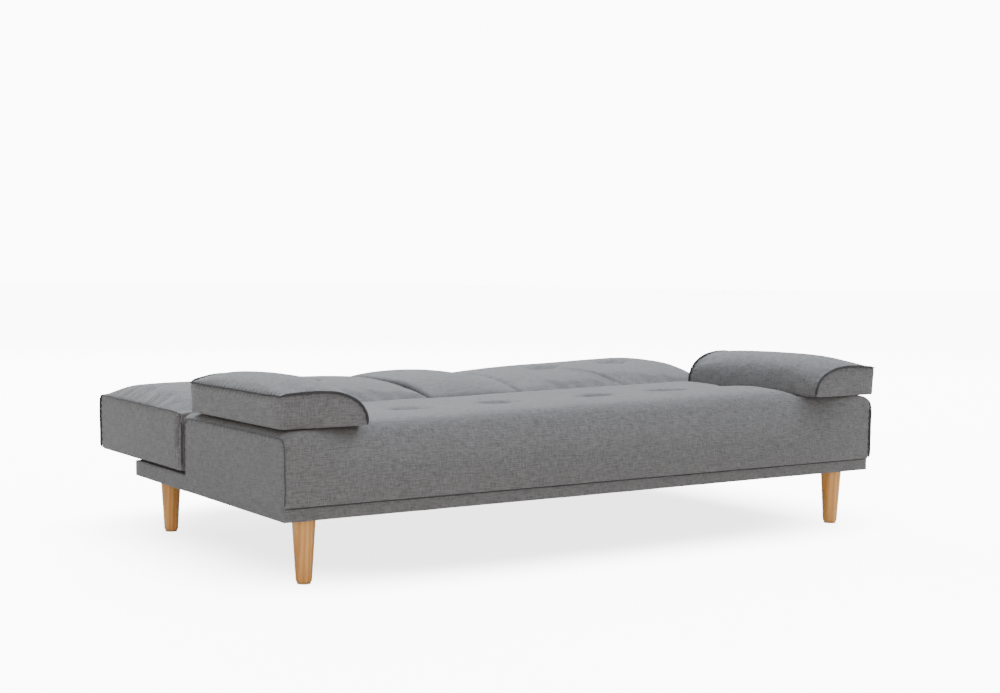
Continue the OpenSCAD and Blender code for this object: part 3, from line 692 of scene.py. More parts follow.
def make_seat():
    xs = stations(SEAT_LOW.x, SEAT_HIGH.x, CELL)
    ys = stations(SEAT_LOW.y, SEAT_HIGH.y, CELL)
    hem = LIP_Z + np.array([0.0005, 0.0025, 0.0060, 0.0110])
    zs = np.concatenate([np.linspace(SEAT_LOW.z, LIP_Z - 0.001, 4), hem,
                         np.arange(LIP_Z + 0.018, SEAT_EDGE - 0.012, CELL),
                         SEAT_EDGE + np.array([-0.009, -0.003, 0.0])])
    points, quads, places = box_grid(xs, ys, zs)
    flat = points.copy()
    x, y, z = points.T.copy()
    inset = inset_of(x)
    radius = CORNER_R + (FRONT_R - CORNER_R) * smooth(0.01, 0.22, inset)
    y, z = round_corner(y, z, SEAT_LOW.y + radius, SEAT_EDGE - radius, radius, -1, 1)
    fold_r = fold_radius(inset)
    y, z = round_corner(y, z, SEAT_HIGH.y - fold_r, SEAT_EDGE - fold_r, fold_r, 1, 1)
    z = z + (seat_top(x, y) - SEAT_EDGE) * smooth(SEAT_EDGE - 0.055, SEAT_EDGE - 0.004, z)
    tilt = smooth(LIP_Z + 0.02, SEAT_EDGE - 0.02, z)
    z = z + END_TILT * (x - SEAT_LOW.x) / (SEAT_HIGH.x - SEAT_LOW.x) * tilt
    # The front swells between its seams. Its hem curls under above the base's front strip.
    front = smooth(SEAT_LOW.y + 0.05, SEAT_LOW.y, flat[:, 1])
    rise = np.clip((z - LIP_Z) / (SEAT_EDGE - LIP_Z), 0, 1)
    ends = swell((x - SEAT_LOW.x) / (SEAT_HIGH.x - SEAT_LOW.x), 24)
    y = y - 0.004 * front * swell(rise, 2.0) * ends + 0.003 * front
    up = np.clip((flat[:, 2] - LIP_Z) / HEM_R, 0, 1)
    y = y + front * HEM_R * (1 - np.sqrt(1 - (1 - up) ** 2)) * (flat[:, 2] > LIP_Z)
    behind = (flat[:, 2] < LIP_Z) & (y < BASE_LOW.y + 0.001)
    y = np.where(behind, BASE_LOW.y + 0.001, y)
    seat = make_mesh("seat_cushion", np.column_stack([x, y, z]), quads, GREY)
    top = places[:, 2] == len(zs) - 1
    front_face = (places[:, 1] == 0) & (flat[:, 2] > LIP_Z + 0.016)
    edge = (places[:, 0] == 0) | (places[:, 0] == len(xs) - 1)
    free = (top | front_face) & ~edge & ~near_tufts(x, y, SEAT_TUFTS) & (flat[:, 1] < SEAT_HIGH.y - 0.004)
    puff(seat, free, PRESSURE, 0.007, 0.012)
    relax(seat, free, 0.4, 2)
    subdivide(seat)
    press_tufts(seat, SEAT_TUFTS, "seat_tuft_ties", SEAT_TUFT_DEPTH)
    crease_noise(seat, 0.0018, 0.17, 1, (LIP_Z, LIP_Z + 0.05))
    crease_noise(seat, 0.0003, 0.030, 2, (LIP_Z, LIP_Z + 0.05))
    rest_under_bolsters(seat)
    points = coordinates(seat)
    for side in (-1, 1):
        bunch_fold_end(points, side, SEAT_HIGH.y, -1, 45)
    set_coordinates(seat, points)
    return seat


seat = make_seat()
place_piece(seat, "base", "upholstery", "seat_cover", "seat_foam", fill=0.8)


# ------------------------------------------------------------------ backrest

BACK_EDGE = 0.3445
FAR_R = 0.016
FAR_END_R = 0.007          # the far edge's radius at the sewn ends
SIDE_R = 0.008
BACK_TUFT_X = (0.416, 0.682)


def back_top(x, y, outer, inner, crest, slope, end_lift):
    """Height of a backrest half's top. outer and inner are the x of its sewn end and of its bay side."""
    from_end = np.abs(x - outer)
    from_bay = np.abs(x - inner)
    t = (y - UNDER_LOW.y) / (UNDER_HIGH.y - UNDER_LOW.y)
    rise = (crest - BACK_EDGE) * (1 - np.exp(-from_end / 0.030))
    rise = rise + slope * (0.30 - from_end) * smooth(0, 0.1, from_end)
    bay_drop = 0.019 * np.exp(-from_bay / 0.14)
    lift = end_lift * np.exp(-from_end / 0.15) * smooth(0.0, 0.6, t)
    return BACK_EDGE + lift + (rise - bay_drop) * (0.04 + 0.96 * lopsided(t, 0.56, 2.6))


def side_drop(inset):
    """How far a pad's side is rounded down at its top, at an inset from the side."""
    over = np.clip(SIDE_R - inset, 0, SIDE_R)
    return SIDE_R - np.sqrt(np.maximum(SIDE_R ** 2 - over ** 2, 0))


def puffed_pad(name, xyz, quads, places, behind_fold, grow, tufts=()):
    """A pad from its shaped grid, puffed on its top only. tufts stay where they are."""
    pad = make_mesh(name, np.column_stack(xyz), quads, GREY)
    last_i, last_j, last_k = places.max(0)
    edge = (places[:, 0] == 0) | (places[:, 0] == last_i) | (places[:, 1] == last_j)
    free = (places[:, 2] == last_k) & ~edge & behind_fold
    if tufts:
        free &= ~near_tufts(xyz[0], xyz[1], tufts)
    puff(pad, free, PRESSURE, 0.006, grow)
    relax(pad, free, 0.4, 2)
    subdivide(pad)
    return pad


def make_back(name, low, high, side, crest, slope, end_lift):
    outer, inner = (low.x, high.x) if side < 0 else (high.x, low.x)
    spans = ((low.x, high.x), (low.y, high.y), (low.z, BACK_EDGE))
    points, quads, places = box_grid(*(stations(a, b, CELL) for a, b in spans))
    flat_y = points[:, 1].copy()
    x, y, z = points.T.copy()
    fold_r = fold_radius(np.abs(x - outer))
    y, z = round_corner(y, z, low.y + fold_r, BACK_EDGE - fold_r, fold_r, -1, 1)
    far_r = FAR_END_R + (FAR_R - FAR_END_R) * smooth(0.0, 0.08, np.abs(x - outer))
    y, z = round_corner(y, z, high.y - far_r, BACK_EDGE - far_r, far_r, 1, 1)
    lifted = back_top(x, y, outer, inner, crest, slope, end_lift) - BACK_EDGE
    z = z + lifted * smooth(BACK_EDGE - 0.10, BACK_EDGE - 0.004, z)
    z = z - side_drop(np.abs(x - inner)) * smooth(0.30, 0.345, z)
    tufts = [(side * tuft_x, BACK_TUFT_Y) for tuft_x in BACK_TUFT_X]
    back = puffed_pad(name, (x, y, z), quads, places, flat_y > low.y + 0.004, 0.012, tufts)
    press_tufts(back, tufts, "backrest_tuft_ties", BACK_TUFT_DEPTH)
    gather_fold_end(back, side)
    return back


def flatten_underside(piece, level):
    """Keeps a cushion's underside at or above a level, so that it clears the lining below it."""
    points = coordinates(piece)
    points[:, 2] = np.maximum(points[:, 2], level)
    set_coordinates(piece, points)


def gather_fold_end(piece, side):
    """Upright puckers on a backrest half's end panel, beside the fold, where the cloth is bunched."""
    points = coordinates(piece)
    reach = points[:, 1] - UNDER_LOW.y
    on_end = np.abs(points[:, 0] * side - UNDER_HIGH.x) < 0.004
    height = np.clip((points[:, 2] - UNDER_LOW.z) / (BACK_EDGE - UNDER_LOW.z), 0, 1)
    sway = 0.004 * np.sin(7.0 * height + 0.8)
    folds = np.sin(2 * math.pi * (reach + sway) / 0.021) * np.exp(-reach / 0.030)
    points[:, 0] += side * 0.0036 * folds * on_end * swell(height, 4)
    # One deeper crumple stands a little way back from the fold.
    middle = 0.027 + 0.006 * along_height(points, 0.030, 51) - 0.10 * (points[:, 2] - 0.29)
    breadth = 0.0075 * (1 + 0.5 * along_height(points, 0.016, 53))
    crumple = np.exp(-((reach - middle) / breadth) ** 2) * smooth(0.252, 0.270, points[:, 2])
    crumple = crumple * smooth(0.341, 0.322, points[:, 2])
    points[:, 0] -= side * 0.022 * crumple * on_end
    # The near side draws back from the seat towards its foot.
    near = np.exp(-reach / 0.020)
    points[:, 1] += 0.003 * near * smooth(0.32, 0.21, points[:, 2])
    bunch_fold_end(points, side, UNDER_LOW.y, 1, 41)
    set_coordinates(piece, points)


left_back = make_back("left_backrest_cushion", LEFT_LOW, LEFT_HIGH, -1, 0.388, -0.022, 0.006)
right_back = make_back("right_backrest_cushion", RIGHT_LOW, RIGHT_HIGH, 1, 0.406, 0.020, 0.008)
for back, side, crease_x, depth, seed in ((left_back, -1, 0.500, 0.004, 3), (right_back, 1, 0.560, 0.007, 5)):
    start, end = (side * 0.430, BACK_TUFT_Y - 0.02), (side * crease_x, UNDER_LOW.y + 0.01)
    press_crease(back, start, end, depth, 0.007)
    crease_noise(back, 0.0016, 0.15, seed)
    crease_noise(back, 0.0003, 0.030, seed + 1)
    flatten_underside(back, LEFT_LOW.z + 0.0006)
place_piece(left_back, "backrest", "upholstery", "left_backrest_cover", "left_backrest_foam", fill=0.8)
place_piece(right_back, "backrest", "upholstery", "right_backrest_cover", "right_backrest_foam", fill=0.8)


# ------------------------------------------------------------------ console

CONSOLE_EDGE = 0.343
CONSOLE_TOE = 0.020        # how far its lower near edge is cut back, so that it can turn
TRAY_RIM = 0.003


def open_over_tray(piece):
    """Leaves the tray in a console's underside bare: the cloth ends in a narrow rim around it."""
    near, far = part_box("console_tray")

    def inside(point):
        return (near.x + TRAY_RIM < point.x < far.x - TRAY_RIM
                and near.y + TRAY_RIM < point.y < far.y - TRAY_RIM and point.z < CONSOLE_LOW.z + 0.004)

    shell = bmesh.new()
    shell.from_mesh(piece.data)
    covered = [face for face in shell.faces if all(inside(v.co) for v in face.verts)]
    bmesh.ops.delete(shell, geom=covered, context="FACES")
    shell.to_mesh(piece.data)
    shell.free()


def make_console():
    low, high = CONSOLE_LOW, CONSOLE_HIGH
    edge_z = CONSOLE_EDGE
    spans = ((low.x, high.x), (low.y, high.y), (low.z, edge_z))
    points, quads, places = box_grid(*(stations(a, b, CELL * 0.8) for a, b in spans))
    flat_y = points[:, 1].copy()
    x, y, z = points.T.copy()
    y, z = round_corner(y, z, low.y + FOLD_R, edge_z - FOLD_R, FOLD_R, -1, 1)
    y, z = round_corner(y, z, high.y - FAR_R, edge_z - FAR_R, FAR_R, 1, 1)
    t = (y - low.y) / (high.y - low.y)
    across = swell((x - low.x) / (high.x - low.x), 2.2)
    lifted = (0.044 + 0.014 * across) * (0.10 + 0.90 * lopsided(t, 0.58, 3.8))
    z = z + lifted * smooth(edge_z - 0.06, edge_z - 0.004, z)
    z = z - side_drop(high.x - np.abs(x)) * smooth(0.31, 0.345, z)
    toe = np.clip(CONSOLE_TOE - (y - low.y), 0, CONSOLE_TOE)
    z = np.where(z < low.z + toe, low.z + toe, z)
    console = puffed_pad("console_cushion", (x, y, z), quads, places, flat_y > low.y + 0.004, 0.008)
    crease_noise(console, 0.0012, 0.12, 7)
    open_over_tray(console)
    return console


console = make_console()
place_piece(console, "console", "upholstery", "console_cover", "console_foam", fill=0.8)


# ------------------------------------------------------------------ bolsters

UPRIGHT = 0.22            # share of the section's line that is the upright outer side
CREST = 0.36              # share of the rest of the line that rises to the crest
BASE_STEPS = 16
BOLSTER_SIDE = 0.074      # height of the upright side's sewn top edge at the ends
BOLSTER_CAP = 0.079       # height of the front end panels
BOLSTER_CROWN = 0.104     # height halfway along
BOLSTERS = {              # side, height of the rear end panel, outward spread of the upright side, noise seed
    "left": (-1, 0.090, 0.0, 11),
    "right": (1, 0.099, 0.005, 13),
}


def bolster_section(t, height, width, side):
    """A point of the section at t from 0 (foot of the upright side) to 1 (foot of the round side)."""
    if t < UPRIGHT:
        return 0.0, side * t / UPRIGHT
    s = (t - UPRIGHT) / (1 - UPRIGHT)
    crest_at = 0.42 * width
    if s < CREST:
        q = s / CREST
        return crest_at * q, side + (height - side) * math.sin(q * math.pi / 2)
    angle = (s - CREST) / (1 - CREST) * math.pi / 2
    return (crest_at + (width - crest_at) * math.sin(angle) ** 0.92, height * math.cos(angle) ** 0.80)


def bolster_cap(v, rear_cap):
    """Height of the section at v from 0 (front) to 1 (rear) before it bulges."""
    return BOLSTER_CAP + (rear_cap - BOLSTER_CAP) * float(smooth(0.25, 0.95, v))


def make_bolster(label, side, rear_cap, spread):
    """A D-shaped bolster: its upright side stands outwards, and its ends are flat sewn panels."""
    low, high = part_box(label + "_bolster_cover")
    outer = low.x - spread if side < 0 else high.x + spread
    inner = high.x if side < 0 else low.x
    width = abs(inner - outer)
    floor_z = low.z + 0.001
    count_t, count_l = ((66, 72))
    rows = stations(0.0, 1.0, 1.0 / count_l, near_edges=(0.004, 0.012, 0.022))
    points = []
    for v in rows:
        y = low.y + v * (high.y - low.y)
        bulge = float(swell(v, 3.2))
        turn = max(0.0, 1 - min(v, 1 - v) / 0.022)
        cap = bolster_cap(v, rear_cap)
        height = cap + (BOLSTER_CROWN - cap) * bulge
        for n in range(count_t + 1):
            t = n / count_t
            a, h = bolster_section(t, height, width - 0.006 * (1 - bulge), BOLSTER_SIDE + 0.003 * bulge)
            a += 0.008 * turn ** 2 * max(0.0, 1 - t / (UPRIGHT * 1.05))
            points.append((outer - side * a, y, floor_z + h))
        for n in range(1, BASE_STEPS):
            q = n / BASE_STEPS
            points.append((inner + (outer - inner) * q + side * 0.003 * (1 - bulge) * (1 - q), y, floor_z))
    around = count_t + BASE_STEPS
    quads = tube(len(rows), around)
    if side > 0:
        quads = [face[::-1] for face in quads]
    first = list(range(around))
    last = [n + around * (len(rows) - 1) for n in first]
    quads += cap_quads(points, first, side > 0, -0.005)
    quads += cap_quads(points, last, side < 0, 0.005)
    return make_mesh(label + "_bolster_cushion", points, quads, GREY), first + last


def cap_quads(points, ring, flip, dome):
    """Closes one end of a tube with shrinking rings round its middle, domed out along Y."""
    quads = []
    base = np.array([points[n] for n in ring])
    centre = base.mean(0)
    previous = list(ring)
    for share in (0.05, 0.14, 0.28, 0.45, 0.62, 0.80):
        fresh = []
        for p in base:
            fresh.append(len(points))
            points.append(tuple(p + (centre - p) * share + np.array([0, dome * (1 - (1 - share) ** 3), 0])))
        for n in range(len(ring)):
            m = (n + 1) % len(ring)
            face = [previous[m], previous[n], fresh[n], fresh[m]]
            quads.append(face[::-1] if flip else face)
        previous = fresh
    middle = len(points)
    points.append(tuple(centre + np.array([0, dome, 0])))
    for n in range(len(ring)):
        m = (n + 1) % len(ring)
        face = [previous[m], previous[n], middle]
        quads.append(face[::-1] if flip else face)
    return quads


bolsters = {}
for label, (side, rear_cap, spread, seed) in BOLSTERS.items():
    bolster, ends = make_bolster(label, side, rear_cap, spread)
    points = coordinates(bolster)
    bottom = points[:, 2].min()
    free = points[:, 2] >= bottom + 0.002
    free[ends] = False
    puff(bolster, free, 1.2, 0.004, 0.003)
    relax(bolster, free, 0.5, 4)
    subdivide(bolster)
    crease_noise(bolster, 0.0010, 0.10, seed, (bottom + 0.004, bottom + 0.03))
    crease_noise(bolster, 0.0002, 0.028, seed + 1, (bottom + 0.004, bottom + 0.03))
    body = label + "_bolster"
    bolsters[label] = place_piece(bolster, body, "upholstery", body + "_cover", body + "_fill", fill=0.8)


# ------------------------------------------------------------------ sewn edges

def pucker(piece, path, amount=0.0011, period=0.019, reach=0.011):
    """Small gathers in the cloth beside a sewn edge."""
    path = np.asarray(path, float)
    run = running_length(path)
    tree = search_tree(path)
    points, out = coordinates(piece), normals(piece)
    for n, p in enumerate(points):
        _, near, away = tree.find(Vector(p))
        if away < 4 * reach:
            phase = 2 * math.pi * run[near] / period + 2.2 * noise.noise(Vector(p) * 17)
            points[n] += out[n] * (amount * math.sin(phase) - 0.0006) * math.exp(-(away / reach) ** 2)
    set_coordinates(piece, points)


def welt(name, piece, body, targets, width=0.0048, height=0.0085, push=None, gathers=0.0011, cloth=SEAM):
    """A raised sewn edge that follows a finished cushion through the target points."""
    # The ridge's cloth is SEAM unless one is given, painted dark as the shade in the groove beside the edge.
    path, out = nearest_path(piece, targets)
    if push is not None:
        out = out + np.asarray(push, float)
    pucker(piece, path, gathers)
    wobble = np.array([noise.noise(Vector(p) * 60) for p in path])
    ridge = sweep(name, path + out * (0.0004 * wobble[:, None]), out, cloth, width, height)
    return place_piece(ridge, body, "upholstery")


def end_seam(name, piece, body, x, *corners, **look):
    """A sewn edge on a cushion's end at x, along straight stretches between corners given by y and z."""
    corners = [np.array((x, y, z), float) for y, z in corners]
    targets = []
    for a, b in zip(corners, corners[1:]):
        count = max(2, int(np.linalg.norm(b - a) / SEAM_STEP))
        targets += [a + (b - a) * n / count for n in range(count)]
    welt(name, piece, body, targets + corners[-1:], push=(math.copysign(0.6, x), 0, 0.2), **look)


def fold_tuck(label, side):
    """A tuck of spare cloth that lies in the fold: up its open end, then inwards along its top."""
    end, fold_y = SEAT_HIGH.x, SEAT_HIGH.y
    top = 0.3425 if side > 0 else 0.3385
    path, facing = [], []
    for n in range(14):
        path.append((side * (end - 0.003 + 0.001 * math.sin(9 * n)),
                     fold_y + 0.0035 + 0.0012 * math.sin(1.9 * n), 0.212 + 0.0085 * n))
        facing.append((side * 0.9, 0.0, 0.1 + 0.9 * n / 13))
    for n in range(13):
        path.append((side * (end - 0.010 - 0.010 * n), fold_y + 0.003, top + 0.0035 * (1 - 0.6 ** n)))
        facing.append((0.0, 0.0, 1.0))
    path, facing = even_out(path, 2), even_out(facing, 2)
    ridge = sweep(f"seat_{label}_fold_tuck", path, facing, GREY, 0.0042, 0.0060, sink=0.6)
    place_piece(ridge, "base", "upholstery")


SEAM_STEP = 0.006
# FLAT_SEAM's cloth is SOFT_SEAM, painted a little darker than the upholstery as shade along a flat seam.
FLAT_SEAM = {"width": 0.0034, "height": 0.0052, "gathers": 0.0008, "cloth": SOFT_SEAM}
SIDES = ((-1, "left"), (1, "right"))

for side, label in SIDES:
    near, far = SEAT_LOW.y, SEAT_HIGH.y
    edge = SEAT_EDGE + (END_TILT if side > 0 else 0)
    end_seam(f"seat_{label}_end_seam", seat, "base", side * SEAT_HIGH.x,
             (near + 0.004, LIP_Z + 0.004), (near, LIP_Z + 0.02), (near, edge - 0.018), (near + 0.012, edge),
             (far - 0.012, edge), (far, edge - 0.02), (far, 0.20), **(FLAT_SEAM if side < 0 else {}))
for piece, (side, label) in zip((left_back, right_back), SIDES):
    near, far, x = UNDER_LOW.y, UNDER_HIGH.y, side * UNDER_HIGH.x
    corner = (far - 0.008, BACK_EDGE + 0.004)
    end_seam(f"backrest_{label}_end_seam", piece, "backrest", x, corner, (far, 0.33), (far, 0.20))
    end_seam(f"backrest_{label}_top_seam", piece, "backrest", x,
             (near + 0.003, 0.21), (near, 0.33), (near + 0.012, BACK_EDGE), corner, **FLAT_SEAM)
for side, label in SIDES:
    fold_tuck(label, side)

hem = []
for x in np.linspace(SEAT_LOW.x + 0.002, SEAT_HIGH.x - 0.002, 241):
    hem.append((x, BASE_LOW.y - 0.0030, LIP_Z - 0.0002 + 0.0006 * noise.noise(Vector((x * 11, 0, 5)))))
# The hem's ridge is SEAM, painted dark as the shade in the hem's groove.
hem_seam = sweep("hem_seam", hem, np.tile([0.0, -1.0, 0.3], (len(hem), 1)), SEAM, 0.0030, 0.0040)
place_piece(hem_seam, "base", "upholstery")

for label, (side, rear_cap, _, _) in BOLSTERS.items():
    bolster, body = bolsters[label], label + "_bolster"
    low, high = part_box(body + "_cover")
    outer = low.x if side < 0 else high.x
    floor_z = low.z + 0.001
    for y, end, cap, push in ((low.y, "front", BOLSTER_CAP, -0.8), (high.y, "rear", rear_cap, 0.8)):
        arc = []
        for t in np.linspace(UPRIGHT, 1, 101):
            a, h = bolster_section(t, cap, high.x - low.x - 0.006, BOLSTER_SIDE)
            arc.append((outer - side * a, y, floor_z + h))
        welt(f"{body}_{end}_seam", bolster, body, arc, width=0.0062, height=0.0088, push=(0, push, 0.5))
    top = [(outer, y, floor_z + BOLSTER_SIDE) for y in np.linspace(low.y, high.y, 91)]
    path, out = nearest_path(bolster, top)
    pucker(bolster, path)
    # The seam runs out into a small ear at each end.
    front_ear = path[:1] + np.array([side * 0.003, -0.006, 0.002])
    rear_ear = path[-1:] + np.array([side * 0.004, 0.011, 0.002])
    path = np.concatenate([front_ear, path, rear_ear])
    out = np.concatenate([out[:1], out, out[-1:]]) + np.array([side * 0.3, 0, 0.4])
    # The side seam is SEAM, painted dark as the shade of the groove beside it.
    place_piece(sweep(body + "_side_seam", path, out, SEAM, 0.0040, 0.0062), body, "upholstery")


# ------------------------------------------------------------------ base strips and linings

STRIP_STEP = 0.012


def soft_strip(name, low, high, seed, round_by=0.004):
    """A band of cloth pulled over a rail, with rounded edges and a faint unevenness."""
    axes = []
    for a, b in zip(low, high):
        fine = min(round_by, (b - a) * 0.3)
        step = STRIP_STEP if b - a > 0.05 else max((b - a) / 4, 0.002)
        axes.append(stations(a, b, step, (fine * 0.35, fine)))
    points, quads, _ = box_grid(*axes)
    strip = make_mesh(name, points, quads, GREY)
    subdivide(strip)
    crease_noise(strip, 0.0008, 0.07, seed)
    return strip


def strip_set(name, corners, seed):
    """One piece of several bands, each between two opposite corners."""
    strips = [soft_strip(f"{name}_{n}", low, high, seed + n) for n, (low, high) in enumerate(corners)]
    bpy.ops.object.select_all(action="DESELECT")
    for strip in strips:
        strip.select_set(True)
    bpy.context.view_layer.objects.active = strips[0]
    bpy.ops.object.join()
    strips[0].name = name
    return strips[0]


RAIL_WRAP = 0.045          # how far the tail's cloth is turned in over the rails
tail_near = SEAT_HIGH.y - 0.002
west, east, rear = BASE_LOW.x, BASE_HIGH.x, BASE_HIGH.y
foot, top = BASE_LOW.z, BASE_HIGH.z
wrap, wrap_top = top + 0.0008, top + 0.0028
base_band = strip_set("base_band", [
    ((west + 0.0005, BASE_LOW.y, foot), (east - 0.0005, BASE_LOW.y + 0.0025, LIP_Z - 0.0015)),
    ((west, tail_near, foot), (west + 0.003, rear, top)),
    ((east - 0.003, tail_near, foot), (east, rear, top)),
    ((west, rear - 0.003, foot), (east, rear, top)),
    ((west, tail_near, wrap), (west + RAIL_WRAP, rear, wrap_top)),
    ((east - RAIL_WRAP, tail_near, wrap), (east, rear, wrap_top)),
    ((west, rear - RAIL_WRAP, wrap), (east, rear, wrap_top)),
], 21)
place_piece(base_band, "base", "upholstery", "base_cover")


def lining(name, low, high, seed):
    """A lining stapled along its edges: one thin, slightly uneven sheet."""
    def height(x, y):
        return high.z - 0.0006 * noise.noise(Vector((x * 9, y * 9, seed)))

    xs, ys = np.linspace(low.x, high.x, 91), np.linspace(low.y, high.y, 46)
    return thin_sheet(name, xs, ys, height, 0.0008, LINING)


dust_low, dust_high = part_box("dust_cover")
base_lining = lining("base_lining", dust_low, dust_high, 31)
place_piece(base_lining, "base", "lining", "dust_cover")
back_lining = lining("backrest_lining", Vector((UNDER_LOW.x + 0.004, UNDER_LOW.y + 0.004, UNDER_LOW.z)),
                     Vector((UNDER_HIGH.x - 0.004, UNDER_HIGH.y - 0.004, UNDER_LOW.z + 0.0006)), 33)
place_piece(back_lining, "backrest", "lining", "backrest_under_cover")


def fold_flap():
    """A strip of cloth that joins the seat's rear wall to the backrest's near wall, deep in the fold."""
    near, far, level = SEAT_HIGH.y - 0.003, UNDER_LOW.y + 0.003, 0.286
    xs = np.linspace(-SEAT_HIGH.x + 0.034, SEAT_HIGH.x - 0.034, 181)

    def height(x, y):
        t = (y - near) / (far - near)
        return level - 0.004 * float(swell(t, 2)) - 0.0008 * noise.noise(Vector((x * 14, t * 2, 4)))

    flap = thin_sheet("fold_flap", xs, np.linspace(near, far, 17), height, 0.0012, GREY)
    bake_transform(flap)


fold_flap()

rail_low, rail_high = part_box("backrest_far_rail")
near_rail_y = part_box("backrest_near_rail")[0].y
bay, under = -LEFT_HIGH.x - 0.001, UNDER_LOW.z
bay_wrap = strip_set("bay_rail_wrap", [
    ((-bay, rail_high.y + 0.0003, under + 0.002), (bay, rail_high.y + 0.0028, rail_high.z)),
    ((-bay, rail_low.y - 0.002, rail_high.z - 0.0022), (bay, rail_high.y + 0.0028, rail_high.z + 0.0003)),
    ((-bay, rail_low.y - 0.0028, under + 0.006), (bay, rail_low.y - 0.0003, rail_high.z)),
    ((-bay, near_rail_y - 0.0040, under + 0.008), (bay, near_rail_y - 0.0012, 0.2885)),
], 36)
place_piece(bay_wrap, "backrest", "upholstery")

rest_pad = soft_strip("console_rest_pad", *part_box("console_rest"), 35, round_by=0.008)
place_piece(rest_pad, "backrest", "upholstery", "console_rest", fill=0.9)


# ------------------------------------------------------------------ legs

LEG_SIDES = 64
LEG_EASE = 0.004


def turned_leg(node):
    """A straight tapered leg, eased at its foot and at its shoulder."""
    low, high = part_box(node)
    cx, cy = (low.x + high.x) / 2, (low.y + high.y) / 2
    top_r = (high.x - low.x) / 2
    foot_r = top_r * 37 / 54
    height = high.z - low.z
    profile = [(foot_r - LEG_EASE, 0.0)]
    profile += [(foot_r - LEG_EASE * (1 - math.sin(a)), LEG_EASE * (1 - math.cos(a)))
                for a in (math.pi * n / 12 for n in range(1, 7))]
    profile += [(foot_r + (top_r - foot_r) * q, LEG_EASE + (height - 2 * LEG_EASE) * q)
                for q in (0.1, 0.25, 0.4, 0.55, 0.7, 0.85, 0.97)]
    profile += [(top_r, height - 0.0015), (top_r - 0.001, height)]
    points = []
    for r, z in profile:
        for n in range(LEG_SIDES):
            angle = 2 * math.pi * n / LEG_SIDES
            points.append((cx + r * math.cos(angle), cy + r * math.sin(angle), low.z + z))
    quads = tube(len(profile), LEG_SIDES)
    quads.append(list(reversed(range(LEG_SIDES))))
    quads.append([(len(profile) - 1) * LEG_SIDES + n for n in range(LEG_SIDES)])
    return make_mesh(node + "_turned", points, quads, BEECH)


for node in ("front_left_leg", "front_right_leg", "rear_left_leg", "rear_right_leg"):
    place_piece(turned_leg(node), "base", "leg_wood", node)


# ------------------------------------------------------------------ stage, light and camera

FLOOR_SHADE = (0.90, 0.87, 0.83)
FLOOR_GLOW = 3.2           # added where the camera sees the floor under the sofa, kept low there as a painted shadow
BACKDROP = 11.0            # what the camera sees behind the sofa
FAR_GLOW = BACKDROP - 1.6
PAINTED_SHADOW_X, PAINTED_SHADOW_Y = 0.95, 0.62         # half sizes of the floor's painted shadow patch, where it glows less
SKY_LOW = 0.26             # light from the sides
SKY_HIGH = 1.25            # light from straight above
WARM, COOL, WHITE = (1.0, 0.90, 0.82, 1), (0.89, 0.955, 1.05, 1), (1, 1, 1, 1)


def make_floor():
    """A pale floor that glows more and more with distance, so that it runs into the backdrop. Its weaker glow
    under the sofa is a painted shadow.
    """
    nodes = Nodes("floor", 0.7)
    spot = nodes.add("SeparateXYZ", nodes.stretch(nodes.place["Object"], 1 / PAINTED_SHADOW_X, 1 / PAINTED_SHADOW_Y, 1.0))
    across, along = (nodes.math("POWER", nodes.math("ABSOLUTE", s), 4.0) for s in spot.outputs[:2])
    away = nodes.math("POWER", nodes.math("ADD", across, along), 0.25)
    tone = nodes.noise(nodes.place["Object"], 1.5)
    low, high = tuple(c * 0.99 for c in FLOOR_SHADE), FLOOR_SHADE
    nodes.finish(nodes.ramp(tone, (0.3, low), (0.7, high)))
    # Painted shadow: the camera-only glow is lowest in the patch under the sofa and rises outside it.
    glow = nodes.add("MapRange", away, 0.75, 1.25, FLOOR_GLOW, FAR_GLOW, interpolation_type="SMOOTHSTEP")
    seen = nodes.add("LightPath").outputs["Is Camera Ray"]
    nodes.set(Emission_Color=WHITE)
    nodes.feed(nodes.shader.inputs["Emission Strength"], nodes.math("MULTIPLY", glow.outputs[0], seen))
    floor = make_mesh("floor", [(-40, -30, 0), (40, -30, 0), (40, 80, 0), (-40, 80, 0)], [[0, 1, 2, 3]],
                      nodes.material)


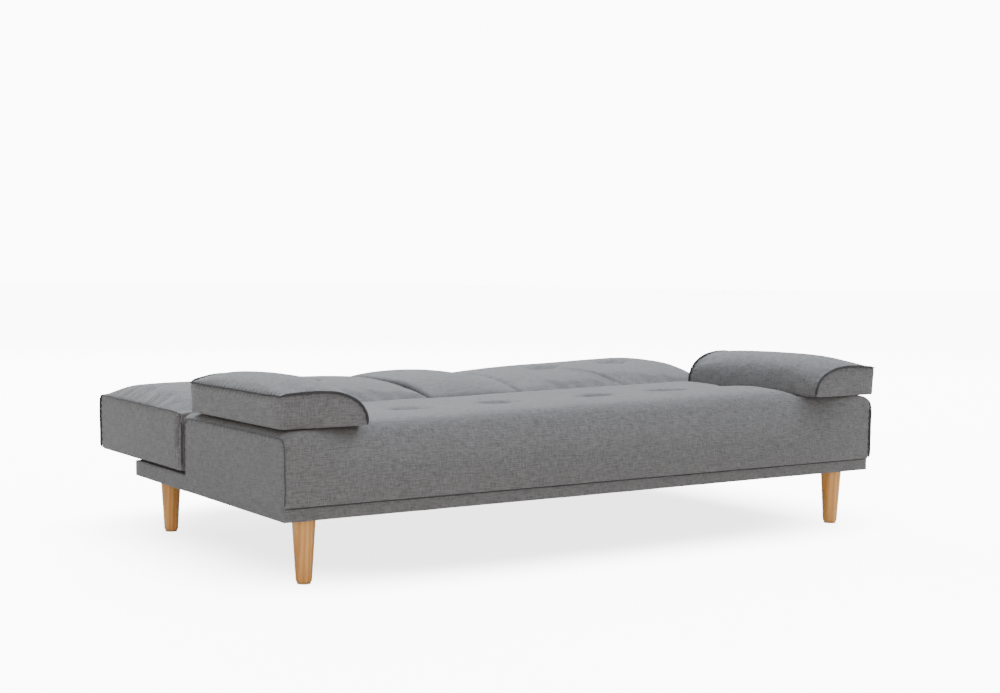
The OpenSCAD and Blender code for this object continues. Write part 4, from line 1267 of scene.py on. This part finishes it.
def make_sky():
    """Soft light that comes mostly from above, in front of a white backdrop."""
    world = bpy.context.scene.world or bpy.data.worlds.new("studio")
    bpy.context.scene.world = world
    nodes = Tree(world)
    background = nodes.tree.nodes["Background"]
    up = nodes.add("SeparateXYZ", nodes.place["Generated"]).outputs["Z"]
    rise = nodes.add("MapRange", up, 0.45, 0.95, SKY_LOW, SKY_HIGH, interpolation_type="SMOOTHSTEP")
    seen = nodes.add("LightPath").outputs["Is Camera Ray"]
    nodes.feed(background.inputs["Strength"], nodes.mix(seen, rise.outputs[0], BACKDROP))
    light = nodes.mix_colour(nodes.spread(up, 0.1, 0.7, 0, 1), WARM, COOL)
    nodes.feed(background.inputs["Color"], nodes.mix_colour(seen, light, WHITE))


AIM = Vector((0, 0, 0.3))


def area_light(name, place, size, power, colour):
    data = bpy.data.lights.new(name, "AREA")
    data.color = colour
    data.shape = "RECTANGLE"
    data.size, data.size_y = size
    data.energy = power
    light = bpy.data.objects.new(name, data)
    bpy.context.scene.collection.objects.link(light)
    light.location = place
    light.rotation_euler = (AIM - Vector(place)).to_track_quat("-Z", "Y").to_euler()


make_floor()
make_sky()
area_light("rear_softbox", (1.4, 8.0, 4.9), (7.0, 3.0), 940, (0.90, 0.96, 1.0))
area_light("overhead_softbox", (6.2, 1.6, 8.8), (7.0, 4.0), 980, (0.92, 0.965, 1.0))
area_light("front_fill", (-4.6, -7.4, 2.4), (7.0, 3.5), 235, (1.0, 0.86, 0.74))

CAMERA_YAW = math.radians(29.507)
CAMERA_PITCH = math.radians(4.333)
SENSOR = 36.0
camera_data = bpy.data.cameras.new("camera")
camera_data.sensor_width = SENSOR
camera_data.lens = 1.4831 * SENSOR
camera_data.shift_x = 0.140
camera_data.shift_y = 0.0382
camera = bpy.data.objects.new("camera", camera_data)
bpy.context.scene.collection.objects.link(camera)
camera.location = (-2.3245, -3.4197, 0.6932)
camera.rotation_euler = (math.pi / 2 - CAMERA_PITCH, 0, -CAMERA_YAW)
bpy.context.scene.camera = camera
